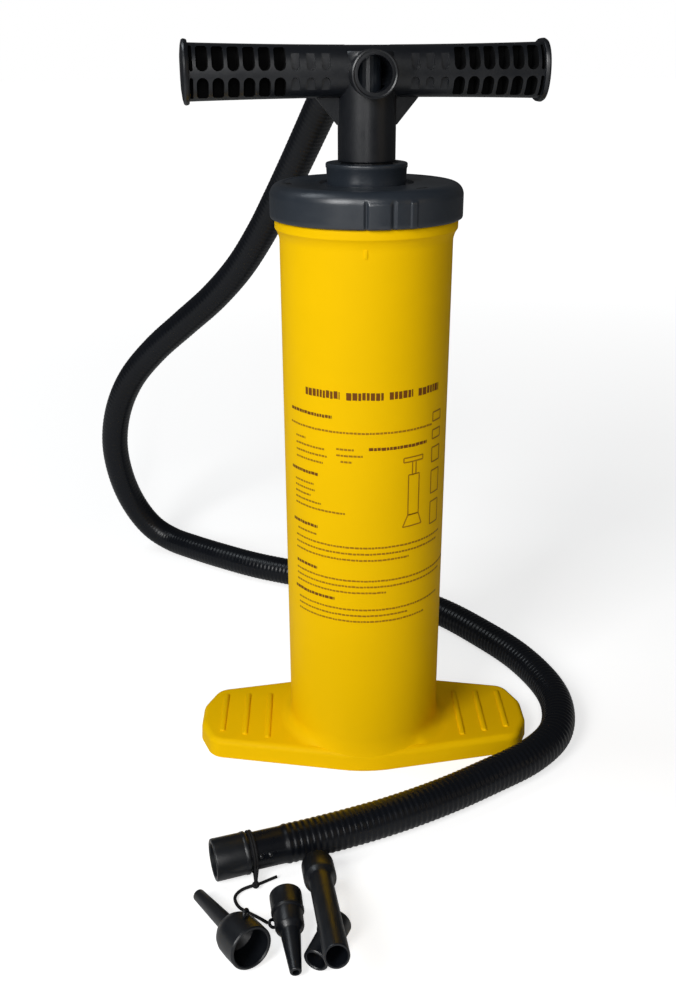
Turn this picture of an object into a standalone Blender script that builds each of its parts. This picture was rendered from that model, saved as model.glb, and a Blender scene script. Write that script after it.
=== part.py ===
"""Double action hand pump: a barrel on a two-footed base, a screwed cap with its gland, a T handle on
two nested tubes, a valved piston, a corrugated hose and four nozzles on a cord.

X runs along the base, -Y is the front and Z is up. The origin is on the floor, on the barrel's axis.
Driving dimensions are in millimetres and the model is in metres.
"""

import math

import bmesh
import bpy
from mathutils import Matrix, Vector

MM = 0.001
GAP = 0.3

# Barrel and base
BORE_R = 51.0
BARREL_FOOT_R = 54.2
BARREL_TOP_R = 54.9
COLLAR_R = 57.7
COLLAR_Z = 379.7
RIM_Z = 394.0
FLOOR_Z = 15.0
CAVITY_Z = 11.5
BASE_HALF_LENGTH = 121.0
BASE_HALF_WIDTH = 56.0
BASE_TOP_Z = 14.5
SKIRT_WALL = 3.2
FOOT_RIB_X = (71.2, 88.0, 104.7)

# Cap and gland
CAP_R = 60.4
CAP_BOTTOM_Z = 380.0
CAP_TOP_Z = 401.5
CAP_PLATE = 3.5
GLAND_R = 25.0
GLAND_TOP_Z = 412.7
GLAND_HOLE_R = 22.0

# Handle
HANDLE_TURN = 8.3
GRIP_Z = 464.8
GRIP_HALF_LENGTH = 112.0
GRIP_RY = 14.0
GRIP_RZ = 14.8
CORE_RY = 11.2
CORE_RZ = 12.0
FIN_FIRST_X = 22.3
FIN_PITCH = 9.0
FIN_COUNT = 10
FIN_WIDTH = 4.2
PORT_Z = 463.6
PORT_FACE_Y = 25.2
PORT_OUTER_R = 13.5
PORT_R = 10.35
NECK_R = 17.8
NECK_BOTTOM_Z = 413.2
PIN_R = 1.6
PIN_Z = 424.0

# Tubes, piston and stroke
ROD_R = 16.0
ROD_WALL = 1.8
ROD_TOP_Z = 449.0
AIR_TUBE_R = 8.5
AIR_TUBE_WALL = 1.5
PISTON_R = 49.6
PISTON_BOTTOM_Z = 20.5
PISTON_PLATE = 4.0
PISTON_HEIGHT = 38.0
PISTON_WALL_R = 47.0
COLLAR_OUTER_R = 19.2
VALVE_R = 8.0
FLAP_R = 11.2
FLAP_THICK = 1.4
VALVE_X = 31.4

# Hose
HOSE_R = 12.4
CUFF_R = 13.6
CUFF_BORE_R = 10.6
HOSE_ROUTE = (
    (-11.2, 76.6, 463.6), (-12.5, 85.5, 463.6), (-16.0, 103.0, 459.5), (-24.0, 122.0, 445.0),
    (-34.5, 142.0, 423.0), (-47.0, 163.0, 397.0), (-61.0, 184.0, 369.0), (-77.0, 204.0, 339.0),
    (-97.0, 224.0, 308.0), (-122.0, 243.0, 279.0), (-151.0, 262.0, 252.0), (-181.0, 280.0, 224.0),
    (-207.0, 295.0, 193.0), (-224.0, 306.0, 159.0), (-232.0, 314.0, 122.0), (-230.0, 320.0, 86.0),
    (-221.0, 326.0, 53.0), (-205.0, 327.0, 27.0), (-184.0, 320.0, 14.5), (-158.0, 302.0, 12.6),
    (-127.0, 280.0, 12.6), (-92.0, 258.0, 12.6), (-50.0, 238.0, 12.6), (-5.0, 217.0, 12.6),
    (40.0, 190.0, 12.6), (77.0, 158.0, 12.6), (107.0, 119.0, 12.6), (131.0, 80.0, 12.6),
    (146.0, 38.0, 12.6), (148.5, 3.0, 12.6), (139.0, -31.0, 12.6), (116.0, -58.0, 12.6),
    (84.0, -80.0, 12.6), (48.0, -102.0, 12.6), (8.0, -122.0, 12.8), (-34.0, -138.6, 13.5),
    (-66.4, -149.2, 13.9), (-74.9, -151.9, 13.9),
)

# Hose end, cord and nozzles, where they lie on the floor
MOUTH = (-101.4, -160.4, 13.9)
END_ANGLE = 17.8
END_CUFF_LENGTH = 27.4
STRAP_START = 28.4
KNOT = (-73.2, -170.6, 2.6)
TETHER_R = 1.0
TETHER_ROUTE = (
    (-76.0, -170.5, 2.0), (-80.5, -172.5, 1.6), (-84.0, -175.5, 1.3), (-85.5, -179.5, 1.3),
    (-84.5, -184.0, 1.3), (-82.0, -188.0, 1.3), (-78.0, -191.2, 1.3), (-73.5, -194.2, 1.3),
    (-69.0, -197.4, 1.3), (-64.9, -200.6, 1.3),
)

MATERIALS = {
    "yellow_plastic": ((0.90, 0.58, 0.0), 0.38),
    "slate_plastic": ((0.055, 0.068, 0.082), 0.42),
    "black_plastic": ((0.022, 0.026, 0.033), 0.36),
    "hose_plastic": ((0.016, 0.018, 0.024), 0.40),
    "rubber": ((0.02, 0.02, 0.02), 0.75),
    "white_plastic": ((0.75, 0.76, 0.74), 0.45),
    "steel": ((0.55, 0.56, 0.58), 0.30),
}


def clear_scene():
    """Remove every object that the new scene starts with."""
    for obj in list(bpy.data.objects):
        bpy.data.objects.remove(obj, do_unlink=True)


def make_material(name):
    """One Principled material for a moulded, rubber or metal piece."""
    colour, roughness = MATERIALS[name]
    material = bpy.data.materials.get(name)
    if material:
        return material
    material = bpy.data.materials.new(name)
    material.use_nodes = True
    shader = material.node_tree.nodes["Principled BSDF"]
    shader.inputs["Base Color"].default_value = (*colour, 1.0)
    shader.inputs["Roughness"].default_value = roughness
    shader.inputs["Metallic"].default_value = 1.0 if name == "steel" else 0.0
    return material


def add_object(name, bm):
    """Turn a bmesh into an object, still in millimetres."""
    bmesh.ops.recalc_face_normals(bm, faces=bm.faces)
    mesh = bpy.data.meshes.new(name)
    bm.to_mesh(mesh)
    bm.free()
    obj = bpy.data.objects.new(name, mesh)
    bpy.context.collection.objects.link(obj)
    return obj


def lathe(name, profile, segments=32):
    """Turn a closed (radius, z) outline about the Z axis."""
    bm = bmesh.new()
    rings = []
    for radius, z in profile:
        if radius < 1e-6:
            rings.append([bm.verts.new((0.0, 0.0, z))])
            continue
        ring = []
        for step in range(segments):
            angle = 2.0 * math.pi * step / segments
            ring.append(bm.verts.new((radius * math.cos(angle), radius * math.sin(angle), z)))
        rings.append(ring)
    for index, ring in enumerate(rings):
        following = rings[(index + 1) % len(rings)]
        if len(ring) == 1 and len(following) == 1:
            continue
        for step in range(segments):
            corners = []
            for vert in (
                ring[step % len(ring)],
                ring[(step + 1) % len(ring)],
                following[(step + 1) % len(following)],
                following[step % len(following)],
            ):
                if vert not in corners:
                    corners.append(vert)
            bm.faces.new(corners)
    return add_object(name, bm)


def tube_profile(outer, inner, bottom, top):
    """Outline of a plain ring."""
    return [(outer, top), (outer, bottom), (inner, bottom), (inner, top)]


def cylinder(name, radius, bottom, top, segments=24):
    """A plain solid cylinder on the Z axis."""
    return lathe(name, [(0.0, top), (radius, top), (radius, bottom), (0.0, bottom)], segments)


def block(name, low, high):
    """A box between two corners."""
    bm = bmesh.new()
    bmesh.ops.create_cube(bm, size=1.0)
    size = [b - a for a, b in zip(low, high)]
    centre = [(a + b) / 2.0 for a, b in zip(low, high)]
    bmesh.ops.scale(bm, vec=size, verts=bm.verts)
    bmesh.ops.translate(bm, vec=centre, verts=bm.verts)
    return add_object(name, bm)


def stack(name, layers):
    """Close a solid through horizontal outlines of equal point count, given as (outline, z)."""
    bm = bmesh.new()
    rings = []
    for outline, z in layers:
        rings.append([bm.verts.new((x, y, z)) for x, y in outline])
    count = len(rings[0])
    for lower, upper in zip(rings, rings[1:]):
        for step in range(count):
            after = (step + 1) % count
            bm.faces.new((lower[step], lower[after], upper[after], upper[step]))
    bm.faces.new(list(reversed(rings[0])))
    bm.faces.new(rings[-1])
    return add_object(name, bm)


def apply_boolean(obj, other, operation):
    """Combine two objects with an exact Boolean and remove the second."""
    modifier = obj.modifiers.new("cut", "BOOLEAN")
    modifier.operation = operation
    modifier.object = other
    modifier.solver = "EXACT"
    depsgraph = bpy.context.evaluated_depsgraph_get()
    mesh = bpy.data.meshes.new_from_object(obj.evaluated_get(depsgraph))
    obj.modifiers.clear()
    obj.data = mesh
    bpy.data.objects.remove(other, do_unlink=True)
    return obj


def cut(obj, *others):
    """Take other shapes away from a shape."""
    for other in others:
        apply_boolean(obj, other, "DIFFERENCE")
    return obj


def join(obj, *others):
    """Fuse other shapes into a shape."""
    for other in others:
        apply_boolean(obj, other, "UNION")
    return obj


def place(obj, matrix):
    """Move a shape's mesh by a matrix."""
    obj.data.transform(matrix)
    return obj


def finish(obj, name, material, parent=None):
    """Name a piece, bring it to metres, give it its material and smooth its round faces."""
    obj.data.transform(Matrix.Scale(MM, 4))
    obj.name = name
    obj.data.name = name
    obj.data.materials.clear()
    obj.data.materials.append(make_material(material))
    obj.data.shade_smooth()
    obj.data.set_sharp_from_angle(angle=math.radians(32.0))
    if parent:
        obj.parent = parent
    return obj


def along_x(obj):
    """Lay a shape that was made along Z down along +X."""
    return place(obj, Matrix.Rotation(math.radians(90.0), 4, "Y"))


def along_y(obj):
    """Lay a shape that was made along Z down along -Y."""
    return place(obj, Matrix.Rotation(math.radians(90.0), 4, "X"))


def shift(obj, x=0.0, y=0.0, z=0.0):
    """Move a shape by millimetres."""
    return place(obj, Matrix.Translation((x, y, z)))


def rounded_polygon(corners, steps=3):
    """Outline through (x, y, fillet radius) corners with each corner rounded by an arc."""
    points = []
    count = len(corners)
    for index, (x, y, radius) in enumerate(corners):
        corner = Vector((x, y))
        before = (Vector(corners[index - 1][:2]) - corner).normalized()
        after = (Vector(corners[(index + 1) % count][:2]) - corner).normalized()
        half = before.angle(after) / 2.0
        reach = radius / math.tan(half)
        centre = corner + (before + after).normalized() * (radius / math.sin(half))
        start = corner + before * reach - centre
        sweep = (corner + after * reach - centre).angle_signed(start)
        for step in range(steps + 1):
            turned = start.copy()
            turned.rotate(Matrix.Rotation(sweep * step / steps, 2))
            points.append(tuple(centre + turned))
    return points


def inset(outline, amount):
    """Move a convex outline inwards by an amount."""
    moved = []
    count = len(outline)
    for index in range(count):
        before = Vector(outline[index]) - Vector(outline[index - 1])
        after = Vector(outline[(index + 1) % count]) - Vector(outline[index])
        normal = (before.normalized() + after.normalized()).normalized()
        moved.append((outline[index][0] - normal.y * amount, outline[index][1] + normal.x * amount))
    return moved


def base_outline():
    """Plan of the base: widest at the barrel, narrowing to a rounded foot at each end."""
    right = [(BASE_HALF_LENGTH - 9.0, -35.0, 14.0), (BASE_HALF_LENGTH + 0.6, -12.0, 16.0)]
    corners = [(0.0, -BASE_HALF_WIDTH - 1.2, 90.0)]
    corners += right
    corners += [(x, -y, radius) for x, y, radius in reversed(right)]
    corners += [(0.0, BASE_HALF_WIDTH + 1.2, 90.0)]
    corners += [(-x, -y, radius) for x, y, radius in right]
    corners += [(-x, y, radius) for x, y, radius in reversed(right)]
    return rounded_polygon(corners)


def make_barrel():
    """The yellow moulding: open barrel, closed floor, hollow ribbed base with two feet."""
    outline = base_outline()
    base = stack("base", [
        (outline, 0.0),
        (inset(outline, 0.5), BASE_TOP_Z - 3.5),
        (inset(outline, 1.4), BASE_TOP_Z - 1.2),
        (inset(outline, 3.4), BASE_TOP_Z),
    ])
    shell = lathe("shell", [
        (0.0, RIM_Z), (BARREL_TOP_R - 0.5, RIM_Z), (BARREL_TOP_R - 0.5, COLLAR_Z), (COLLAR_R, COLLAR_Z),
        (COLLAR_R, COLLAR_Z - 2.0), (COLLAR_R - 1.4, COLLAR_Z - 6.0), (BARREL_TOP_R, COLLAR_Z - 12.0),
        (BARREL_FOOT_R, BASE_TOP_Z + 9.0), (BARREL_FOOT_R + 2.4, BASE_TOP_Z + 1.0),
        (BARREL_FOOT_R + 2.4, BASE_TOP_Z - 6.0), (0.0, BASE_TOP_Z - 6.0),
    ], 48)
    join(base, shell)
    for x in FOOT_RIB_X:
        for side in (-1, 1):
            low = (side * x - 1.6, -26.0, BASE_TOP_Z - 1.0)
            high = (side * x + 1.6, 26.0, BASE_TOP_Z + 1.2)
            rib = block("rib", low, high)
            join(base, rib)
    cut(base, cylinder("bore", BORE_R, FLOOR_Z, RIM_Z + 5.0, 48))
    inner = inset(outline, SKIRT_WALL)
    cut(base, stack("cavity", [(inner, -5.0), (inset(inner, 0.8), CAVITY_Z)]))
    for angle in (0.0, 45.0, 90.0, 135.0):
        reach = BASE_HALF_LENGTH - 2.0 if angle == 0.0 else 50.0
        rib = block("rib", (-reach, -1.3, 1.0), (reach, 1.3, CAVITY_Z + 1.0))
        join(base, place(rib, Matrix.Rotation(math.radians(angle), 4, "Z")))
    join(base, cylinder("hub", 18.0, 0.0, CAVITY_Z + 1.0, 24))
    return finish(base, "barrel", "yellow_plastic")


def make_cap():
    """The grey screw cap with a rounded shoulder and a hole for the gland."""
    skirt_inner = BARREL_TOP_R + 1.5
    cap = lathe("cap", [
        (CAP_R, CAP_BOTTOM_Z), (skirt_inner, CAP_BOTTOM_Z), (skirt_inner, CAP_TOP_Z - CAP_PLATE),
        (GLAND_HOLE_R, CAP_TOP_Z - CAP_PLATE), (GLAND_HOLE_R, CAP_TOP_Z), (CAP_R - 7.5, CAP_TOP_Z),
        (CAP_R - 3.4, CAP_TOP_Z - 1.1), (CAP_R - 0.9, CAP_TOP_Z - 3.6), (CAP_R, CAP_TOP_Z - 7.0),
    ], 48)
    for angle in (-83.0, -56.0, -47.0, -40.0):
        rib = block("rib", (CAP_R - 1.2, -1.0, CAP_BOTTOM_Z + 0.5), (CAP_R + 0.5, 1.0, CAP_TOP_Z - 6.0))
        for turn in (0.0, 120.0, 240.0):
            mesh = rib.data.copy()
            copy = bpy.data.objects.new("rib", mesh)
            bpy.context.collection.objects.link(copy)
            join(cap, place(copy, Matrix.Rotation(math.radians(angle + turn), 4, "Z")))
        bpy.data.objects.remove(rib, do_unlink=True)
    finish(cap, "cap", "slate_plastic")
    seat = CAP_TOP_Z - CAP_PLATE - GAP
    gasket = lathe("cap_gasket", tube_profile(BARREL_TOP_R - 0.8, BORE_R + 0.5, RIM_Z + GAP, seat), 32)
    finish(gasket, "cap_gasket", "rubber")
    return cap


def make_gland():
    """Gland, rod seal and guide bush, which carry the sliding rod in the cap."""
    neck_r = GLAND_HOLE_R - GAP
    pocket_r = ROD_R + 3.2
    shoulder = CAP_TOP_Z + GAP
    gland = lathe("gland", [
        (GLAND_R, shoulder), (neck_r, shoulder), (neck_r, CAP_TOP_Z - 9.5), (pocket_r, CAP_TOP_Z - 9.5),
        (pocket_r, GLAND_TOP_Z - 2.6), (ROD_R + 0.5, GLAND_TOP_Z - 2.6), (ROD_R + 0.5, GLAND_TOP_Z),
        (GLAND_R - 1.2, GLAND_TOP_Z), (GLAND_R, GLAND_TOP_Z - 1.2),
    ], 32)
    finish(gland, "gland", "slate_plastic")
    seal_top = GLAND_TOP_Z - 2.6 - GAP
    seal = lathe("rod_seal", tube_profile(pocket_r - GAP, ROD_R + GAP, seal_top - 4.0, seal_top), 32)
    finish(seal, "rod_seal", "rubber")
    bush_top = seal_top - 4.0 - GAP
    bush = lathe("guide_bush", [
        (pocket_r - GAP, bush_top), (pocket_r - GAP, CAP_TOP_Z - 9.5 - GAP), (neck_r, CAP_TOP_Z - 9.5 - GAP),
        (neck_r, CAP_TOP_Z - 12.0), (ROD_R + GAP, CAP_TOP_Z - 12.0), (ROD_R + GAP, bush_top),
    ], 32)
    finish(bush, "guide_bush", "white_plastic")
    bumper = lathe("bottom_bumper", tube_profile(16.0, 6.0, FLOOR_Z + GAP, PISTON_BOTTOM_Z - GAP), 20)
    finish(bumper, "bottom_bumper", "rubber")


def oval_point(ry, rz, angle):
    """Point on an oval, with the angle measured from the top."""
    return ry * math.sin(angle), rz * math.cos(angle)


def grip_section(kind):
    """Half section of the grip, top to bottom: the finned oval, the spined core or the end flange."""
    steep = [math.radians(30.0 * step) for step in range(1, 3)]
    spine_top = PORT_Z - GRIP_Z + 1.9
    spine_low = PORT_Z - GRIP_Z - 1.9
    ry, rz = {"core": (CORE_RY, CORE_RZ), "fin": (GRIP_RY, GRIP_RZ)}.get(kind, (GRIP_RY + 2.0, GRIP_RZ + 2.2))
    upper = [oval_point(ry, rz, angle) for angle in steep]
    lower = [oval_point(ry, rz, math.pi - angle) for angle in reversed(steep)]
    if kind == "core":
        reach = GRIP_RY - 0.4
        middle = [(CORE_RY, spine_top), (reach, spine_top), (reach, spine_low), (CORE_RY - 0.5, spine_low)]
    else:
        levels = (spine_top + 0.9, spine_top, spine_low, spine_low - 0.9)
        middle = [(ry * math.sqrt(1.0 - (z / rz) ** 2), z) for z in levels]
    return [(0.0, rz)] + upper + middle + lower + [(0.0, -rz)]


def grip_stations():
    """Places along the grip where its section changes, from the left end to the right end."""
    stations = [(-16.0, "fin"), (16.0, "fin")]
    for side in (-1, 1):
        for index in range(FIN_COUNT):
            x = side * (FIN_FIRST_X + FIN_PITCH * index)
            stations.append((x - FIN_WIDTH / 2.0, "fin"))
            stations.append((x + FIN_WIDTH / 2.0, "fin"))
        stations.append((side * (GRIP_HALF_LENGTH - 4.5), "flange"))
        stations.append((side * GRIP_HALF_LENGTH, "flange"))
    stations.sort()
    steps = []
    for start, end in zip(stations[::2], stations[1::2]):
        steps += [(start[0], "core"), start, end, (end[0], "core")]
    return steps[1:-1]


def make_grip():
    """The crossbar: an oval core with a spine, fins and an end flange on each side."""
    bm = bmesh.new()
    rings = []
    for x, kind in grip_stations():
        half = grip_section(kind)
        outline = half + [(-y, z) for y, z in reversed(half[1:-1])]
        rings.append([bm.verts.new((x, y, z + GRIP_Z)) for y, z in outline])
    count = len(rings[0])
    for left, right in zip(rings, rings[1:]):
        for step in range(count):
            after = (step + 1) % count
            bm.faces.new((left[step], left[after], right[after], right[step]))
    bm.faces.new(rings[0])
    bm.faces.new(rings[-1])
    return add_object("grip", bm)


def pin_hole():
    """Cutter for the pin that crosses the neck and both tubes."""
    return shift(along_x(cylinder("hole", PIN_R + GAP, -NECK_R - 4.0, NECK_R + 4.0, 10)), z=PIN_Z)


def make_handle(parent):
    """The T handle: grip, neck, gussets, and a front and a rear port."""
    handle = make_grip()
    neck = cylinder("neck", NECK_R, NECK_BOTTOM_Z, GRIP_Z + 12.5, 28)
    boss = shift(along_y(cylinder("boss", PORT_OUTER_R, -PORT_FACE_Y, PORT_FACE_Y, 24)), z=PORT_Z)
    join(handle, neck, boss)
    for side in (-1, 1):
        outline = [(side * 12.0, 2.5), (side * 12.0, -2.5), (side * 34.0, -2.5), (side * 34.0, 2.5)]
        toe = [(side * 12.0, 2.5), (side * 12.0, -2.5), (side * 17.0, -2.5), (side * 17.0, 2.5)]
        if side > 0:
            outline.reverse()
            toe.reverse()
        join(handle, stack("gusset", [(toe, 433.0), (outline, 455.0)]))
    cut(handle, cylinder("rod_socket", ROD_R + GAP, NECK_BOTTOM_Z - 1.0, ROD_TOP_Z + 8.0, 28), pin_hole())
    cut(handle, cylinder("air_socket", AIR_TUBE_R + GAP, ROD_TOP_Z, GRIP_Z + 9.0, 24))
    cut(handle, shift(along_y(cylinder("port", PORT_R, -PORT_FACE_Y - 1.0, PORT_FACE_Y + 1.0, 24)), z=PORT_Z))
    finish(handle, "handle", "black_plastic", parent)
    pin = shift(along_x(cylinder("pin", PIN_R, -NECK_R + 0.2, NECK_R - 0.2, 10)), z=PIN_Z)
    finish(pin, "neck_pin", "steel", parent)


def make_tubes(parent):
    """The outer rod tube, the inner air tube and the elbow that joins it to the rear port."""
    rod_bottom = PISTON_BOTTOM_Z + PISTON_HEIGHT - PISTON_PLATE + 2.0 + GAP
    rod = lathe("rod_tube", tube_profile(ROD_R, ROD_R - ROD_WALL, rod_bottom, ROD_TOP_Z), 28)
    finish(cut(rod, pin_hole()), "rod_tube", "black_plastic", parent)
    tube_bottom = PISTON_BOTTOM_Z + PISTON_PLATE + 10.0
    tube_top = GRIP_Z + 9.0 - GAP
    air = lathe("air_tube", tube_profile(AIR_TUBE_R, AIR_TUBE_R - AIR_TUBE_WALL, tube_bottom, tube_top), 24)
    window = shift(along_y(cylinder("window", 5.0, -20.0, 0.0, 16)), z=PORT_Z)
    finish(cut(air, window, pin_hole()), "air_tube", "black_plastic", parent)
    elbow = lathe("rear_elbow", [
        (9.6, 13.8), (9.6, 11.8), (6.6, 11.8), (6.6, AIR_TUBE_R + GAP), (5.0, AIR_TUBE_R + GAP), (5.0, 13.8),
    ], 16)
    place(elbow, Matrix.Rotation(math.radians(-90.0), 4, "X"))
    finish(shift(elbow, z=PORT_Z), "rear_elbow", "black_plastic", parent)


def make_inlet_cuff(parent):
    """The hose's upper cuff, which plugs into the rear port, and its O-ring."""
    back = Matrix.Rotation(math.radians(-90.0), 4, "X")
    cuff = lathe("hose_inlet_cuff", [
        (PORT_R - GAP, 14.2), (8.2, 14.2), (8.2, 76.8), (CUFF_R - 0.8, 76.8), (CUFF_R, 72.0), (CUFF_R, 31.0),
        (CUFF_R + 1.0, 30.0), (CUFF_R + 1.0, PORT_FACE_Y + GAP), (PORT_R - GAP, PORT_FACE_Y + GAP),
        (PORT_R - GAP, 21.5), (PORT_R - 1.7, 21.5), (PORT_R - 1.7, 18.7), (PORT_R - GAP, 18.7),
    ], 24)
    finish(shift(place(cuff, back), z=PORT_Z), "hose_inlet_cuff", "black_plastic", parent)
    ring = lathe("inlet_o_ring", tube_profile(PORT_R - GAP, PORT_R - 1.4, 19.0, 21.2), 24)
    finish(shift(place(ring, back), z=PORT_Z), "inlet_o_ring", "rubber", parent)


def valve_post(name, x, y, z, direction, parent):
    """A headed post that keeps one valve disc on its seat; it points up or down."""
    post = lathe("post", [(0.0, 4.9), (3.0, 4.9), (3.0, 4.0), (1.3, 4.0), (1.3, GAP), (0.0, GAP)], 8)
    if direction < 0:
        place(post, Matrix.Rotation(math.radians(180.0), 4, "X"))
    finish(shift(post, x, y, z), name, "white_plastic", parent)


def valve_flap(name, x, y, z, direction, parent):
    """One rubber valve disc lying on its seat."""
    flap = lathe("flap", tube_profile(FLAP_R, 1.3 + GAP, GAP, FLAP_THICK), 16)
    if direction < 0:
        place(flap, Matrix.Rotation(math.radians(180.0), 4, "X"))
    finish(shift(flap, x, y, z), name, "rubber", parent)


def valve_slots(x, y, bottom, top):
    """Four air slots round a post hole, as cutters through a plate."""
    cutters = []
    for angle in (0.0, 90.0, 180.0, 270.0):
        radians = math.radians(angle + 45.0)
        slot = cylinder("slot", 2.7, bottom, top, 8)
        cutters.append(shift(slot, x + 5.2 * math.cos(radians), y + 5.2 * math.sin(radians)))
    return cutters


def make_piston(parent):
    """The piston is a box of two plates: intake valves on the left, outlet valves on the right."""
    low = PISTON_BOTTOM_Z
    high = low + PISTON_HEIGHT
    floor = low + PISTON_PLATE
    ceiling = high - PISTON_PLATE
    collar_top = high + 9.0
    base = lathe("piston_base", [
        (0.0, low), (0.0, floor), (PISTON_WALL_R - 3.0, floor), (PISTON_WALL_R - 3.0, ceiling - GAP),
        (PISTON_WALL_R, ceiling - GAP), (PISTON_WALL_R, low + 26.0), (PISTON_R, low + 26.0),
        (PISTON_R, low + 24.0), (PISTON_WALL_R, low + 24.0), (PISTON_WALL_R, low + 14.0),
        (PISTON_R, low + 14.0), (PISTON_R, low + 12.0), (PISTON_WALL_R, low + 12.0),
        (PISTON_WALL_R, floor), (PISTON_R, floor), (PISTON_R, low),
    ], 40)
    reach = PISTON_WALL_R - 1.5
    divider = block("divider", (-1.3, -reach, floor - 1.0), (1.3, reach, ceiling - GAP))
    socket = cylinder("socket", AIR_TUBE_R + 2.6, floor - 1.0, ceiling - GAP, 20)
    join(base, divider, socket)
    cut(base, cylinder("well", AIR_TUBE_R + GAP, floor + 1.0, high, 20))
    cut(base, block("window", (4.0, -5.0, floor + 1.0), (14.0, 5.0, floor + 9.0)))
    lid = lathe("piston_lid", [
        (PISTON_R, ceiling), (AIR_TUBE_R + GAP, ceiling), (AIR_TUBE_R + GAP, high),
        (ROD_R - ROD_WALL - GAP, high), (ROD_R - ROD_WALL - GAP, ceiling + 2.0), (ROD_R + GAP, ceiling + 2.0),
        (ROD_R + GAP, collar_top), (COLLAR_OUTER_R, collar_top), (COLLAR_OUTER_R, high), (PISTON_R, high),
    ], 40)
    slot_profile = tube_profile(ROD_R - ROD_WALL - 1.2, AIR_TUBE_R + 1.4, ceiling - 1.0, high + 1.0)
    slot = lathe("slot", slot_profile, 20)
    half = block("half", (0.6, -30.0, ceiling - 3.0), (30.0, 30.0, high + 3.0))
    cut(lid, cut(slot, half))
    for index, (x, y) in enumerate(((-33.0, 22.0), (33.0, 22.0), (33.0, -22.0), (-33.0, -22.0))):
        join(base, shift(cylinder("post", 4.2, floor - 1.0, ceiling - GAP, 10), x, y))
        cut(base, shift(cylinder("hole", 1.3 + GAP, floor + 8.0, high, 8), x, y))
        cut(lid, shift(cylinder("hole", 1.3 + GAP, ceiling - 1.0, high + 1.0, 8), x, y))
        screw = lathe("screw", [
            (0.0, high + 2.0), (2.6, high + 2.0), (2.6, high + GAP), (1.3, high + GAP),
            (1.3, floor + 14.0), (0.0, floor + 14.0),
        ], 8)
        finish(shift(screw, x, y), f"piston_screw_{index + 1}", "steel", parent)
    for side in (-1, 1):
        x = side * VALVE_X
        cut(lid, *valve_slots(x, 0.0, ceiling - 1.0, high + 1.0))
        cut(base, *valve_slots(x, 0.0, low - 1.0, floor + 1.0))
    finish(base, "piston_base", "white_plastic", parent)
    finish(lid, "piston_lid", "white_plastic", parent)
    bumper_profile = tube_profile(COLLAR_OUTER_R, ROD_R + GAP, collar_top + GAP, collar_top + 3.3)
    bumper = lathe("top_bumper", bumper_profile, 24)
    finish(bumper, "top_bumper", "rubber", parent)
    ring = lathe("piston_ring", tube_profile(BORE_R - GAP, PISTON_WALL_R + GAP, low + 14.3, low + 23.7), 40)
    finish(ring, "piston_ring", "rubber", parent)
    for name, x, z, direction in (
        ("intake_upper", -VALVE_X, high, 1), ("intake_lower", -VALVE_X, low, -1),
        ("outlet_upper", VALVE_X, ceiling, -1), ("outlet_lower", VALVE_X, floor, 1),
    ):
        valve_post(f"{name}_post", x, 0.0, z, direction, parent)
        valve_flap(f"{name}_flap", x, 0.0, z, direction, parent)


def smooth_route(points, spacing):
    """Points at a steady spacing along a Catmull-Rom curve through hand-set points."""
    ends = [Vector(p) for p in points]
    ends.insert(0, ends[0] * 2.0 - ends[1])
    ends.append(ends[-1] * 2.0 - ends[-2])
    dense = []
    for index in range(1, len(ends) - 2):
        p0, p1, p2, p3 = ends[index - 1:index + 3]
        for step in range(20):
            t = step / 20.0
            dense.append(0.5 * (
                2.0 * p1 + (p2 - p0) * t + (2.0 * p0 - 5.0 * p1 + 4.0 * p2 - p3) * t * t
                + (3.0 * p1 - p0 - 3.0 * p2 + p3) * t ** 3
            ))
    dense.append(ends[-2])
    lengths = [0.0]
    for before, after in zip(dense, dense[1:]):
        lengths.append(lengths[-1] + (after - before).length)
    count = max(4, round(lengths[-1] / spacing))
    even = []
    place_at = 0
    for step in range(count + 1):
        wanted = lengths[-1] * step / count
        while place_at < len(lengths) - 2 and lengths[place_at + 1] < wanted:
            place_at += 1
        span = lengths[place_at + 1] - lengths[place_at]
        even.append(dense[place_at].lerp(dense[place_at + 1], (wanted - lengths[place_at]) / span))
    return even


def make_cord(name, route, radius, spacing, material, resolution):
    """A plain tube along a route, with a straight stub at each end, as a curve with a bevel and caps."""
    points = [Vector(route[0])] + smooth_route(route[1:-1], spacing) + [Vector(route[-1])]
    curve = bpy.data.curves.new(name, "CURVE")
    curve.dimensions = "3D"
    curve.bevel_depth = radius * MM
    curve.bevel_resolution = resolution
    curve.use_fill_caps = True
    spline = curve.splines.new("POLY")
    spline.points.add(len(points) - 1)
    for point, position in zip(spline.points, points):
        point.co = (position.x * MM, position.y * MM, position.z * MM, 1.0)
    obj = bpy.data.objects.new(name, curve)
    bpy.context.collection.objects.link(obj)
    curve.materials.append(make_material(material))
    return obj


def lay_along(obj, start, end):
    """Lay a shape made up the Z axis from zero so that it runs from start towards end."""
    direction = (Vector(end) - Vector(start)).normalized()
    turn = direction.to_track_quat("Z", "Y").to_matrix().to_4x4()
    return place(obj, Matrix.Translation(start) @ turn)


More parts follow.
